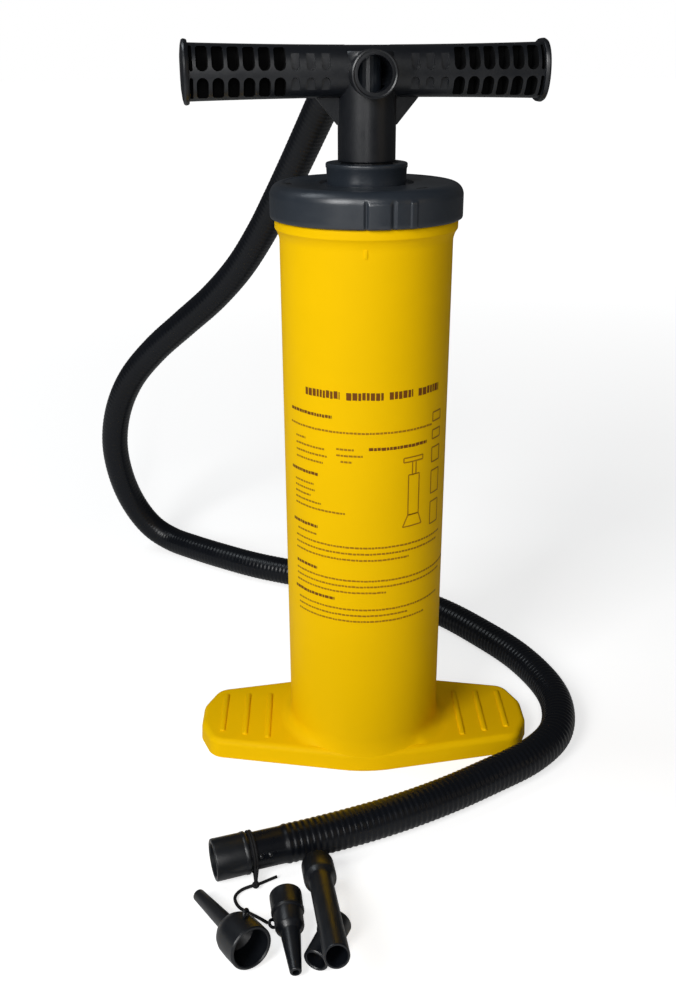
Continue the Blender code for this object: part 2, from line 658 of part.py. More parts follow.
def make_hose_end():
    """The lower cuff, its inner socket and the strap that ties the nozzles to the hose."""
    heading = Vector((math.cos(math.radians(END_ANGLE)), math.sin(math.radians(END_ANGLE)), 0.0))
    mouth = Vector(MOUTH)
    inward = mouth + heading
    cuff = lathe("hose_end_cuff", [
        (CUFF_R - 1.0, 0.0), (CUFF_BORE_R, 0.0), (CUFF_BORE_R, END_CUFF_LENGTH),
        (CUFF_R - 1.2, END_CUFF_LENGTH), (CUFF_R - 1.2, 25.0), (CUFF_R, 24.2), (CUFF_R, 1.2),
    ], 24)
    finish(lay_along(cuff, mouth, inward), "hose_end_cuff", "black_plastic")
    socket = lathe("hose_end_socket", tube_profile(CUFF_BORE_R - GAP, 8.6, 5.0, 24.0), 20)
    finish(lay_along(socket, mouth, inward), "hose_end_socket", "black_plastic")
    return heading


def nozzle(name, profile, start, end, material="black_plastic"):
    """A turned nozzle that lies from its wide open end towards its tip."""
    return finish(lay_along(lathe(name, profile, 16), start, end), name, material)


def make_nozzles():
    """Four nozzles, each hollow right through."""
    nozzle("nozzle_long_tip", [
        (12.9, 0.0), (10.8, 0.0), (10.8, 17.0), (3.4, 22.0), (2.2, 63.8), (3.6, 63.8), (5.2, 26.0),
        (11.0, 22.0), (12.9, 17.5),
    ], (-72.0, -234.1, 15.3), (-107.2, -181.6, 6.2))
    nozzle("nozzle_domed", [
        (9.2, 0.0), (7.6, 0.0), (7.6, 22.0), (3.4, 26.0), (2.0, 54.1), (3.4, 54.1), (6.2, 27.0), (8.6, 24.5),
        (8.8, 13.8), (9.8, 13.0), (9.8, 1.2),
    ], (-54.5, -188.6, 11.5), (-47.5, -241.9, 5.1))
    nozzle("nozzle_stepped", [
        (10.0, 0.0), (8.2, 0.0), (8.2, 19.0), (5.6, 23.0), (5.4, 114.0), (7.0, 114.0), (7.2, 22.0),
        (10.0, 20.0),
    ], (-35.3, -163.6, 11.0), (-25.2, -271.7, 46.4))
    nozzle("nozzle_wide", [
        (8.9, 0.0), (7.2, 0.0), (7.2, 8.0), (5.6, 12.0), (5.6, 30.7), (7.4, 30.7), (7.4, 13.0), (8.9, 9.5),
    ], (-23.8, -208.7, 9.6), (-36.6, -236.4, 7.8))


def make_tether():
    """The strap round the hose, its knot and the thin cord to the nozzles."""
    heading = make_hose_end()
    mouth = Vector(MOUTH)
    strap_profile = tube_profile(HOSE_R + 1.3, HOSE_R + 0.3, STRAP_START, STRAP_START + 3.6)
    strap = lathe("tether_strap", strap_profile, 24)
    lay_along(strap, mouth, mouth + heading)
    middle = mouth + heading * (STRAP_START + 1.8)
    outward = Vector(KNOT) - middle
    outward = (outward - heading * outward.dot(heading)).normalized()
    root = middle + outward * (HOSE_R + 0.8)
    tail = block("tail", (-1.0, -1.0, 0.0), (1.0, 1.0, (Vector(KNOT) - root).length - 2.6))
    join(strap, lay_along(tail, root, KNOT))
    finish(strap, "tether_strap", "rubber")
    knot = lathe("tether_knot", [(0.0, -2.3), (1.6, -1.6), (2.3, 0.0), (1.6, 1.6), (0.0, 2.3)][::-1], 8)
    finish(shift(knot, *KNOT), "tether_knot", "rubber")
    make_cord("tether_cord", TETHER_ROUTE, TETHER_R, 3.0, "rubber", 1)


def main():
    clear_scene()
    make_barrel()
    make_cap()
    make_gland()
    turned = bpy.data.objects.new("handle_frame", None)
    bpy.context.collection.objects.link(turned)
    turned.rotation_euler = (0.0, 0.0, math.radians(HANDLE_TURN))
    make_handle(turned)
    make_tubes(turned)
    make_inlet_cuff(turned)
    make_piston(turned)
    make_cord("hose", HOSE_ROUTE, HOSE_R, 38.0, "hose_plastic", 2)
    make_tether()
    make_nozzles()


main()
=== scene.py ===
"""Looks of a double action hand pump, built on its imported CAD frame.

Shapes are worked out in millimetres and turned into metres. X runs along the base, -Y is the front and Z is
up.
"""

import itertools
import math
import random

import bmesh
import bpy
from mathutils import Matrix, Vector

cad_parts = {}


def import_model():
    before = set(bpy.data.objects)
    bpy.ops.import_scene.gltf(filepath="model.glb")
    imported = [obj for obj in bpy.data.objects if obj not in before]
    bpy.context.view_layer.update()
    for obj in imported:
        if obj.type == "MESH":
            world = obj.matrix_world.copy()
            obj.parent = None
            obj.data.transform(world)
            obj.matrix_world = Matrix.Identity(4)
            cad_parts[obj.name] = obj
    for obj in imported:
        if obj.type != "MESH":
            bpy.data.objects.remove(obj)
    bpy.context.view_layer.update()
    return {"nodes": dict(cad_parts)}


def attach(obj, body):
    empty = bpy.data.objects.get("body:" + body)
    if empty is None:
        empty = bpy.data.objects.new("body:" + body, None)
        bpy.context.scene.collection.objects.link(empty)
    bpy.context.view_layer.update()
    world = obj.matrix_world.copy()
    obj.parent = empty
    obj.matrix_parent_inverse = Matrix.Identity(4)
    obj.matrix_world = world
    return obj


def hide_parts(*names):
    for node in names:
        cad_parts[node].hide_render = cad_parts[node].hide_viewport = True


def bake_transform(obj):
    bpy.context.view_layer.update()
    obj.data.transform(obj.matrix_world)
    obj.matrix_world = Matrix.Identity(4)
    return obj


MM = 0.001

# Camera
CAMERA_PLACE = (-0.0318, -0.6927, 0.4734)
CAMERA_PITCH = 67.574
CAMERA_YAW = -1.1
CAMERA_ROLL = -0.24
CAMERA_LENS = 38.76

# Studio, in metres: each light's name, place, target, size, power and colour
LIGHTS = (
    ("key", (-0.9, -1.3, 1.1), (0.0, 0.0, 0.22), (0.6, 0.8), 19.0, (1.0, 1.0, 1.0)),
    ("left", (-1.0, 0.15, 1.5), (0.0, 0.0, 0.1), (0.6, 0.6), 5.0, (0.88, 0.95, 1.0)),
    ("strip", (-0.05, -1.7, 1.0), (0.0, 0.0, 0.3), (0.05, 1.1), 8.0, (1.0, 1.0, 1.0)),
    ("fill", (1.3, -0.9, 0.7), (0.0, 0.0, 0.2), (0.8, 0.8), 0.8, (1.0, 0.78, 0.5)),
)
WORLD_SEEN = 1.0
WORLD_CAST = 0.06
FLOOR_GLOW_RANGE = (0.5, 2.2)
FLOOR_GLOW = (0.66, 1.0)

# Barrel and base
BORE_R = 51.0
BORE_FLOOR_Z = 15.0
BARREL_SEGMENTS = 192
BARREL_FOOT_R = 54.2
BARREL_TOP_R = 54.9
COLLAR_R = 57.7
COLLAR_Z = 379.7
RIM_Z = 394.0
BASE_HALF_LENGTH = 121.0
BASE_HALF_WIDTH = 56.0
BASE_TOP_Z = 14.5
BASE_EDGE_R = 4.6
BASE_CORNERS = ((112.0, -35.0, 14.0), (121.6, -12.0, 16.0))
SKIRT_WALL = 3.2
CAVITY_Z = 11.5
UNDER_RIB_ANGLES = (0.0, 45.0, 90.0, 135.0)
UNDER_HUB_R = 18.0
FILLET_R = 9.0
FOOT_RIB_X = (71.2, 88.0, 104.7)
FOOT_RIB_HALF_WIDTH = 2.1
FOOT_RIB_HEIGHT = 1.4
GATE_MARK_Z = 365.5
GATE_MARK_TURN = -2.7

# Cap and gland
CAP_R = 60.4
CAP_BOTTOM_Z = 380.0
CAP_TOP_Z = 401.5
CAP_SEGMENTS = 720
CAP_PANEL_TURN = 92.6
CAP_SIDE_STEPS = (1.2, 3.0, 5.0, 7.0, 9.0, 10.5, 11.5, 12.3, 13.0, 13.6)
SLOT_TURNS = (-50.0, 70.0, 190.0)
SLOT_RADIUS = 49.0
GLAND_R = 25.0
GLAND_TOP_Z = 412.7
ROD_R = 16.0

# Handle
HANDLE_TURN = 8.3
GRIP_Z = 464.8
GRIP_HALF_LENGTH = 109.8
RIB_FIRST_X = 22.3
RIB_PITCH = 9.0
POCKET_COUNT = 9
SHALLOW_POCKETS = 3
DEPTH_POWER = 0.80
HEIGHT_POWER = 0.92
WEB_OUTLINE = ((12.0, 455.0), (35.0, 455.0), (33.0, 452.0), (18.2, 434.5), (12.0, 433.0))
WEB_HALF_THICKNESS = 2.6
ROD_SOCKET_TOP_Z = 457.0
AIR_SOCKET_R = 8.8
AIR_SOCKET_TOP_Z = 474.2
FLANGE = ((-3.5, 0.0), (-3.3, 1.4), (-2.6, 1.9), (-1.2, 2.1), (-0.2, 1.5), (0.5, -1.0), (1.1, -6.0))
PORT_Z = 463.6
PORT_FACE_Y = 25.2
PORT_OUTER_R = 13.5
PORT_R = 10.35
NECK_R = 17.8
NECK_BOTTOM_Z = 413.2

# Hose and what is on it
HOSE_R = 12.4
HOSE_PITCH = 4.0
HOSE_DEPTH = 0.6
HOSE_WAVE = (1.0, 0.62, 0.0, 0.62)
HOSE_SEGMENTS = 28
CUFF_R = 13.6
FINGER_RIB_STARTS = (66.0, 60.0, 54.0)
END_CUFF_R = 13.0
CUFF_BORE_R = 10.4
END_CUFF_LENGTH = 23.4
SLEEVE_R = 11.6
SLEEVE_LENGTH = 27.0
MOUTH = (-100.0, -160.0, 13.1)
END_ANGLE = 17.8
LINER_R = 8.6
PIPS_ALONG = (28.2, 34.2)
STRAP_ALONG = 24.6
STRAP_HALF_PITCH = 0.75
STRAP_R = 0.85
KNOT = (-73.2, -170.6, 2.9)
KNOT_TURNS = ((20.0, 0.0), (75.0, 40.0), (100.0, 120.0))
KNOT_TAIL = ((-73.2, -170.6, 2.6), (-69.5, -167.5, 1.6), (-65.0, -164.5, 1.3), (-60.6, -162.2, 1.5))
HOSE_ROUTE = (
    (-11.2, 76.6, 463.6), (-12.5, 85.5, 463.6), (-16.0, 103.0, 459.5), (-24.0, 122.0, 445.0),
    (-34.5, 142.0, 423.0), (-47.0, 163.0, 397.0), (-61.0, 184.0, 369.0), (-77.0, 204.0, 339.0),
    (-97.0, 224.0, 308.0), (-122.0, 243.0, 279.0), (-151.0, 262.0, 252.0), (-181.0, 280.0, 224.0),
    (-207.0, 295.0, 193.0), (-224.0, 306.0, 159.0), (-232.0, 314.0, 122.0), (-230.0, 320.0, 86.0),
    (-221.0, 326.0, 53.0), (-205.0, 327.0, 27.0), (-184.0, 320.0, 14.5), (-158.0, 302.0, 12.6),
    (-127.0, 280.0, 12.6), (-92.0, 258.0, 12.6), (-50.0, 238.0, 12.6), (-5.0, 217.0, 12.6),
    (40.0, 190.0, 12.6), (77.0, 158.0, 12.6), (107.0, 119.0, 12.6), (131.0, 80.0, 12.6),
    (146.0, 38.0, 12.6), (148.5, 3.0, 12.6), (139.0, -31.0, 12.6), (116.0, -58.0, 12.6),
    (84.0, -80.0, 12.6), (48.0, -102.0, 12.6), (8.0, -122.0, 12.7), (-34.0, -138.6, 12.9),
    (-66.4, -149.2, 13.1), (-79.5, -153.4, 13.1),
)
TETHER_R = 1.0
TETHER_ROUTE = (
    (-74.8, -170.4, 2.2), (-80.5, -172.5, 1.6), (-84.0, -175.5, 1.3), (-85.5, -179.5, 1.3),
    (-84.5, -184.0, 1.3), (-82.0, -188.0, 1.3), (-78.0, -191.2, 1.3), (-73.5, -194.2, 1.3),
    (-69.0, -197.4, 1.3), (-64.9, -200.6, 1.3),
)

# Marks printed on the barrel: the azimuths that a row runs between in degrees, and its place up the barrel
TITLE_WORDS = ((-136.0, -109.5), (-105.0, -80.5), (-76.5, -59.5), (-55.0, -34.5))
TITLE_Z = 278.6
TITLE_HEIGHT = 4.8
HEADING_HEIGHT = 2.0
HEADINGS = (
    (-152.0, -115.0, 264.0), (-90.0, -46.0, 244.0), (-153.0, -126.0, 223.5), (-152.0, -127.0, 186.5),
    (-149.0, -128.0, 156.5), (-151.0, -114.0, 136.5),
)
LINE_HEIGHT = 1.3
LINES = (
    (-153.0, -41.0, 254.5),
    (-147.0, -137.0, 246.5), (-147.0, -121.0, 241.8), (-147.0, -119.0, 237.1), (-147.0, -122.0, 232.4),
    (-112.0, -100.0, 243.4), (-112.0, -94.0, 239.2), (-109.0, -101.0, 235.0),
    (-149.0, -130.0, 216.0), (-149.0, -129.0, 211.8), (-149.0, -133.0, 207.6), (-149.0, -124.0, 203.4),
    (-149.0, -106.0, 199.2), (-147.0, -128.0, 181.0),
    (-149.0, -26.0, 175.4), (-149.0, -30.0, 170.9), (-149.0, -60.0, 166.4),
    (-149.0, -12.0, 151.2), (-149.0, -24.0, 146.8), (-149.0, -77.0, 142.4),
    (-147.0, -27.0, 129.6), (-147.0, -60.0, 125.2), (-147.0, -44.0, 120.8),
)
PICTOGRAM = (
    ((-61.5, 224.0), (-52.5, 224.0), (-52.5, 196.0), (-61.5, 196.0)),
    ((-61.5, 196.0), (-52.5, 196.0), (-49.5, 188.0), (-65.5, 188.0)),
    ((-65.5, 236.0), (-49.5, 236.0), (-49.5, 233.0), (-65.5, 233.0)),
    ((-58.5, 233.0), (-55.5, 233.0), (-55.5, 224.0), (-58.5, 224.0)),
)
BOX_SIDES = (-40.0, -30.0)
BOX_ROWS = ((262.0, 256.0), (250.0, 244.0), (238.0, 228.0), (222.0, 206.0), (200.0, 184.0))

# Colours
YELLOW = (0.95, 0.57, 0.0)
SLATE = (0.017, 0.023, 0.032)
BLACK = (0.0045, 0.0058, 0.0085)
HOSE_BLACK = (0.004, 0.005, 0.0075)
# Painted shade: a darker black for the walls and floors of the grip's deep pockets, standing in for the shade
# inside them
POCKET_PAINTED_SHADE = (0.0012, 0.0013, 0.0016)
RUBBER = (0.010, 0.010, 0.011)
WHITE = (0.72, 0.73, 0.70)
STEEL = (0.62, 0.63, 0.65)
INK = (0.19, 0.065, 0.008)
FINE_INK = (0.40, 0.19, 0.006)


def point_light(name, place, target, size, energy, colour):
    """An area light of a width and a height that looks at a target."""
    light = bpy.data.lights.new(name, "AREA")
    light.shape = "RECTANGLE"
    light.size = size[0]
    light.size_y = size[1]
    light.energy = energy
    light.color = colour
    obj = bpy.data.objects.new(name, light)
    obj.location = place
    direction = Vector(target) - Vector(place)
    obj.rotation_euler = direction.to_track_quat("-Z", "Y").to_euler()
    bpy.context.collection.objects.link(obj)


def make_camera():
    """The camera, at the viewing angle of the reference."""
    data = bpy.data.cameras.new("camera")
    data.lens = CAMERA_LENS
    data.sensor_fit = "VERTICAL"
    data.sensor_height = 36.0
    data.sensor_width = 36.0
    data.clip_start = 0.01
    data.clip_end = 50.0
    camera = bpy.data.objects.new("camera", data)
    turn = Matrix.Rotation(math.radians(CAMERA_YAW), 4, "Z")
    turn = turn @ Matrix.Rotation(math.radians(CAMERA_PITCH), 4, "X")
    turn = turn @ Matrix.Rotation(math.radians(CAMERA_ROLL), 4, "Z")
    camera.matrix_world = Matrix.Translation(CAMERA_PLACE) @ turn
    bpy.context.collection.objects.link(camera)
    bpy.context.scene.camera = camera


def make_world(seen, cast):
    """A white surround: one strength where it is seen, another for the light that it casts."""
    world = bpy.data.worlds.new("studio")
    world.use_nodes = True
    nodes = world.node_tree.nodes
    links = world.node_tree.links
    path = nodes.new("ShaderNodeLightPath")
    strength = nodes.new("ShaderNodeMapRange")
    strength.inputs["To Min"].default_value = cast
    strength.inputs["To Max"].default_value = seen
    links.new(path.outputs["Is Camera Ray"], strength.inputs["Value"])
    links.new(strength.outputs["Result"], nodes["Background"].inputs["Strength"])
    nodes["Background"].inputs["Color"].default_value = (1.0, 1.0, 1.0, 1.0)
    bpy.context.scene.world = world


def make_floor():
    """A white floor that keeps soft shadows and glows a little so that it stays white far away."""
    bpy.ops.mesh.primitive_plane_add(size=30.0, location=(0.0, 8.0, -0.0002))
    floor = bpy.context.object
    floor.name = "floor"
    material = bpy.data.materials.new("floor")
    material.use_nodes = True
    nodes = material.node_tree.nodes
    links = material.node_tree.links
    shader = nodes["Principled BSDF"]
    shader.inputs["Base Color"].default_value = (0.72, 0.72, 0.72, 1.0)
    shader.inputs["Roughness"].default_value = 0.9
    shader.inputs["Specular IOR Level"].default_value = 0.05
    shader.inputs["Emission Color"].default_value = (1.0, 1.0, 1.0, 1.0)
    place = nodes.new("ShaderNodeNewGeometry")
    distance = nodes.new("ShaderNodeVectorMath")
    distance.operation = "LENGTH"
    glow = nodes.new("ShaderNodeMapRange")
    glow.inputs["From Min"].default_value = FLOOR_GLOW_RANGE[0]
    glow.inputs["From Max"].default_value = FLOOR_GLOW_RANGE[1]
    glow.inputs["To Min"].default_value = FLOOR_GLOW[0]
    glow.inputs["To Max"].default_value = FLOOR_GLOW[1]
    path = nodes.new("ShaderNodeLightPath")
    seen = nodes.new("ShaderNodeMath")
    seen.operation = "MULTIPLY"
    links.new(place.outputs["Position"], distance.inputs[0])
    links.new(distance.outputs["Value"], glow.inputs["Value"])
    links.new(glow.outputs["Result"], seen.inputs[0])
    links.new(path.outputs["Is Camera Ray"], seen.inputs[1])
    links.new(seen.outputs["Value"], shader.inputs["Emission Strength"])
    floor.data.materials.append(material)


def make_studio():
    """White floor and surround, with a large key light at the left front and three weaker ones."""
    bpy.context.scene.view_settings.view_transform = "Standard"
    make_world(WORLD_SEEN, WORLD_CAST)
    make_floor()
    for light in LIGHTS:
        point_light(*light)


def moulded(name, colour, roughness, grain=900.0, bump=0.03, shade=0.08, specular=0.5, metallic=0.0):
    """Moulded plastic: faint blotches of colour, a fine skin texture, and rubbed patches in the gloss."""
    material = bpy.data.materials.new(name)
    material.use_nodes = True
    nodes = material.node_tree.nodes
    links = material.node_tree.links
    shader = nodes["Principled BSDF"]
    shader.inputs["Specular IOR Level"].default_value = specular
    shader.inputs["Metallic"].default_value = metallic
    place = nodes.new("ShaderNodeTexCoord")
    blotch = nodes.new("ShaderNodeTexNoise")
    blotch.inputs["Scale"].default_value = 14.0
    blotch.inputs["Detail"].default_value = 5.0
    ramp = nodes.new("ShaderNodeValToRGB")
    ramp.color_ramp.elements[0].position = 0.30
    ramp.color_ramp.elements[0].color = (*(c * (1.0 - shade) for c in colour), 1.0)
    ramp.color_ramp.elements[1].position = 0.72
    ramp.color_ramp.elements[1].color = (*(min(1.0, c * (1.0 + shade * 0.6)) for c in colour), 1.0)
    rubbed = nodes.new("ShaderNodeTexNoise")
    rubbed.inputs["Scale"].default_value = 42.0
    rubbed.inputs["Detail"].default_value = 6.0
    rubbed.inputs["Roughness"].default_value = 0.7
    gloss = nodes.new("ShaderNodeMapRange")
    gloss.inputs["From Min"].default_value = 0.3
    gloss.inputs["From Max"].default_value = 0.75
    gloss.inputs["To Min"].default_value = roughness - 0.05
    gloss.inputs["To Max"].default_value = roughness + 0.12
    skin = nodes.new("ShaderNodeTexNoise")
    skin.inputs["Scale"].default_value = grain
    skin.inputs["Detail"].default_value = 3.0
    relief = nodes.new("ShaderNodeBump")
    relief.inputs["Strength"].default_value = bump
    relief.inputs["Distance"].default_value = 0.0004
    for texture in (blotch, rubbed, skin):
        links.new(place.outputs["Object"], texture.inputs["Vector"])
    links.new(blotch.outputs["Fac"], ramp.inputs["Fac"])
    links.new(ramp.outputs["Color"], shader.inputs["Base Color"])
    links.new(rubbed.outputs["Fac"], gloss.inputs["Value"])
    links.new(gloss.outputs["Result"], shader.inputs["Roughness"])
    links.new(skin.outputs["Fac"], relief.inputs["Height"])
    links.new(relief.outputs["Normal"], shader.inputs["Normal"])
    return material


LOOKS = {
    "yellow_plastic": {"colour": YELLOW, "roughness": 0.5, "bump": 0.05, "shade": 0.03, "specular": 0.05},
    "slate_plastic": {"colour": SLATE, "roughness": 0.33, "bump": 0.12, "shade": 0.14, "specular": 0.8},
    "black_plastic": {"colour": BLACK, "roughness": 0.34, "bump": 0.10, "shade": 0.18, "specular": 0.6},
    "hose_plastic": {"colour": HOSE_BLACK, "roughness": 0.27, "bump": 0.06, "shade": 0.2, "specular": 0.3},
    # Painted shade for the grip's deep pockets: darker and less glossy than the grip's own black
    "pocket_shade": {"colour": POCKET_PAINTED_SHADE, "roughness": 0.8, "bump": 0.2, "shade": 0.2, "specular": 0.15},
    "rubber": {
        "colour": RUBBER, "roughness": 0.7, "grain": 1400.0, "bump": 0.2, "shade": 0.2, "specular": 0.25,
    },
    "white_plastic": {"colour": WHITE, "roughness": 0.45, "shade": 0.04},
    "steel": {
        "colour": STEEL, "roughness": 0.28, "grain": 2400.0, "bump": 0.12, "shade": 0.05, "metallic": 1.0,
    },
    "ink": {"colour": INK, "roughness": 0.5, "bump": 0.02, "shade": 0.12, "specular": 0.1},
    "fine_ink": {"colour": FINE_INK, "roughness": 0.5, "bump": 0.02, "shade": 0.12, "specular": 0.1},
}
# Finishes by the record's slot names, plus the painted shade of the grip's deep pockets (a darker, matter
# black) and the two inks of the print.
"""Finishes by the record's slot names, plus the grip's matt pockets and the two inks of the print."""


def look(slot):
    """The detailed material of a slot, made once."""
    name = f"look_{slot}"
    return bpy.data.materials.get(name) or moulded(name, **LOOKS[slot])


def new_object(name, bm, sharp=34.0):
    """Turn a bmesh in millimetres into a shaded object in metres."""
    bmesh.ops.recalc_face_normals(bm, faces=bm.faces)
    mesh = bpy.data.meshes.new(name)
    bm.to_mesh(mesh)
    bm.free()
    mesh.transform(Matrix.Scale(MM, 4))
    mesh.shade_smooth()
    mesh.set_sharp_from_angle(angle=math.radians(sharp))
    obj = bpy.data.objects.new(name, mesh)
    bpy.context.collection.objects.link(obj)
    return obj


def dress(obj, slot, body, *nodes):
    """Give a piece its finish, name its slot, hide the CAD nodes it stands for, and make it ride."""
    if not obj.data.materials:
        obj.data.materials.append(look(slot))
    if nodes:
        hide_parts(*nodes)
    if body:
        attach(obj, body)
    return obj


def add_rings(bm, rings, closed=True):
    """Skin a list of vertex rings; the last joins the first if closed. A ring of one point is a pole."""
    pairs = list(zip(rings, rings[1:]))
    if closed:
        pairs.append((rings[-1], rings[0]))
    for ring, following in pairs:
        count = max(len(ring), len(following))
        if count == 1:
            continue
        for step in range(count):
            corners = []
            for vert in (
                ring[step % len(ring)], ring[(step + 1) % len(ring)],
                following[(step + 1) % len(following)], following[step % len(following)],
            ):
                if vert not in corners:
                    corners.append(vert)
            bm.faces.new(corners)


def turned_bmesh(profile, segments=96, closed=True, bm=None, matrix=None):
    """Turn a (radius, z) outline about Z into a bmesh, moved by a matrix."""
    bm = bm or bmesh.new()
    matrix = matrix or Matrix.Identity(4)
    rings = []
    for radius, z in profile:
        count = 1 if radius < 1e-6 else segments
        ring = []
        for step in range(count):
            angle = 2.0 * math.pi * step / segments
            point = Vector((radius * math.cos(angle), radius * math.sin(angle), z))
            ring.append(bm.verts.new(matrix @ point))
        rings.append(ring)
    add_rings(bm, rings, closed)
    return bm


def lathe(name, profile, segments=96, matrix=None):
    """A turned piece."""
    return new_object(name, turned_bmesh(profile, segments, matrix=matrix))


def arc(centre_r, centre_z, radius, start, end, steps=6):
    """Points of a rounded corner of an outline, with angles in degrees from the +radius direction."""
    points = []
    for step in range(steps + 1):
        angle = math.radians(start + (end - start) * step / steps)
        points.append((centre_r + radius * math.cos(angle), centre_z + radius * math.sin(angle)))
    return points


def lay_matrix(start, end):
    """Matrix that lays a shape made up the Z axis from start towards end."""
    direction = (Vector(end) - Vector(start)).normalized()
    return Matrix.Translation(start) @ direction.to_track_quat("Z", "Y").to_matrix().to_4x4()


def handle_matrix():
    """The handle's small turn about the barrel's axis."""
    return Matrix.Rotation(math.radians(HANDLE_TURN), 4, "Z")


def port_matrix(angle):
    """Matrix that lays a shape made up the Z axis along the handle's ports: 90 forwards, -90 backwards."""
    return Matrix.Translation((0.0, 0.0, PORT_Z)) @ Matrix.Rotation(math.radians(angle), 4, "X")


def end_heading():
    """Direction from the lower cuff's mouth back along the hose."""
    return Vector((math.cos(math.radians(END_ANGLE)), math.sin(math.radians(END_ANGLE)), 0.0))


def rounded_block(bm, low, high, radius, matrix=None):
    """Add a box with rounded edges to a bmesh."""
    part = bmesh.new()
    bmesh.ops.create_cube(part, size=1.0)
    size = [b - a for a, b in zip(low, high)]
    centre = [(a + b) / 2.0 for a, b in zip(low, high)]
    bmesh.ops.scale(part, vec=size, verts=part.verts)
    bmesh.ops.translate(part, vec=centre, verts=part.verts)
    bmesh.ops.bevel(part, geom=part.edges, offset=radius, segments=3, affect="EDGES", profile=0.5)
    if matrix:
        bmesh.ops.transform(part, matrix=matrix, verts=part.verts)
    mesh = bpy.data.meshes.new("block")
    part.to_mesh(mesh)
    part.free()
    bm.from_mesh(mesh)
    bpy.data.meshes.remove(mesh)


def rounded_polygon(corners, steps=12):
    """Outline through (x, y, fillet radius) corners with each corner rounded by an arc."""
    points = []
    count = len(corners)
    for index, (x, y, radius) in enumerate(corners):
        corner = Vector((x, y))
        before = (Vector(corners[index - 1][:2]) - corner).normalized()
        after = (Vector(corners[(index + 1) % count][:2]) - corner).normalized()
        half = before.angle(after) / 2.0
        reach = radius / math.tan(half)
        centre = corner + (before + after).normalized() * (radius / math.sin(half))
        start = corner + before * reach - centre
        sweep = (corner + after * reach - centre).angle_signed(start)
        for step in range(steps + 1):
            turned = start.copy()
            turned.rotate(Matrix.Rotation(sweep * step / steps, 2))
            points.append(tuple(centre + turned))
    return points


def inset(outline, amount):
    """Move a convex outline inwards by an amount."""
    moved = []
    count = len(outline)
    for index in range(count):
        before = Vector(outline[index]) - Vector(outline[index - 1])
        after = Vector(outline[(index + 1) % count]) - Vector(outline[index])
        normal = (before.normalized() + after.normalized()).normalized()
        moved.append((outline[index][0] - normal.y * amount, outline[index][1] + normal.x * amount))
    return moved


def base_outline():
    """Plan of the base: widest at the barrel, narrowing to a rounded foot at each end."""
    corners = [(0.0, -BASE_HALF_WIDTH - 1.2, 90.0)]
    corners += BASE_CORNERS
    corners += [(x, -y, radius) for x, y, radius in reversed(BASE_CORNERS)]
    corners += [(0.0, BASE_HALF_WIDTH + 1.2, 90.0)]
    corners += [(-x, -y, radius) for x, y, radius in BASE_CORNERS]
    corners += [(-x, y, radius) for x, y, radius in reversed(BASE_CORNERS)]
    return rounded_polygon(corners)


def edge_distance(outline, angle):
    """How far the outline is from the axis in one direction."""
    ray = Vector((math.cos(angle), math.sin(angle)))
    best = 0.0
    for index, point in enumerate(outline):
        a = Vector(outline[index - 1])
        b = Vector(point)
        side = b - a
        cross = ray.x * side.y - ray.y * side.x
        if abs(cross) < 1e-9:
            continue
        along = (a.x * side.y - a.y * side.x) / cross
        on_side = (a.x * ray.y - a.y * ray.x) / cross
        if along > 0.0 and -1e-6 <= on_side <= 1.0 + 1e-6:
            best = max(best, along)
    return best


def add_base(bm):
    """The hollow base as one skin: cavity, rim, skirt, rounded edge and top."""
    outline = base_outline()
    inner = inset(outline, SKIRT_WALL)
    layers = [(inset(inner, 0.8), CAVITY_Z), (inner, 0.8), (inset(outline, SKIRT_WALL - 0.6), 0.0)]
    layers += [(inset(outline, 0.6), 0.0), (outline, 0.7)]
    for step in range(8):
        angle = math.radians(90.0 * step / 7)
        narrower = 0.5 + BASE_EDGE_R * (1.0 - math.cos(angle))
        layers.append((inset(outline, narrower), BASE_TOP_Z - BASE_EDGE_R * (1.0 - math.sin(angle))))
    rings = []
    for points, z in layers:
        rings.append([bm.verts.new((x, y, z)) for x, y in points])
    add_rings(bm, rings, closed=False)
    bm.faces.new(rings[0])
    bm.faces.new(rings[-1])
    for angle in UNDER_RIB_ANGLES:
        reach = BASE_HALF_LENGTH - 2.5 if angle == 0.0 else 50.0
        rounded_block(bm, (-reach, -1.3, 1.0), (reach, 1.3, CAVITY_Z + 1.0), 0.3,
                      Matrix.Rotation(math.radians(angle), 4, "Z"))
    hub = [(0.0, CAVITY_Z + 1.0), (UNDER_HUB_R, CAVITY_Z + 1.0), (UNDER_HUB_R, 0.4), (UNDER_HUB_R - 0.4, 0.0)]
    turned_bmesh(hub + [(0.0, 0.0)], 64, closed=False, bm=bm)
    for x in FOOT_RIB_X:
        for side in (-1, 1):
            front = -24.0 - 0.27 * (FOOT_RIB_X[-1] - x)
            low = (side * x - FOOT_RIB_HALF_WIDTH, front, BASE_TOP_Z - 2.0)
            high = (side * x + FOOT_RIB_HALF_WIDTH, 25.0, BASE_TOP_Z + FOOT_RIB_HEIGHT)
            rounded_block(bm, low, high, 1.6)


def add_barrel_foot(bm):
    """The fillet between barrel and base, which narrows and deepens where the base leaves little room."""
    outline = base_outline()
    steps = 8
    rings = []
    for step in range(steps + 1):
        turn = math.radians(90.0 * step / steps)
        ring = []
        for index in range(BARREL_SEGMENTS):
            angle = 2.0 * math.pi * index / BARREL_SEGMENTS
            room = edge_distance(outline, angle) - BARREL_FOOT_R
            tight = 1.0 - smooth_step(room, 4.0, 14.0)
            radius = max(0.3, min(FILLET_R, room - BASE_EDGE_R + 4.0 * tight))
            reach = BARREL_FOOT_R + radius * (1.0 - math.sin(turn))
            low = BASE_TOP_Z - 0.02 - 4.4 * tight
            height = low + (FILLET_R + 8.0 * tight) * (1.0 - math.cos(turn))
            ring.append(bm.verts.new((reach * math.cos(angle), reach * math.sin(angle), height)))
        rings.append(ring)
    add_rings(bm, rings, closed=False)


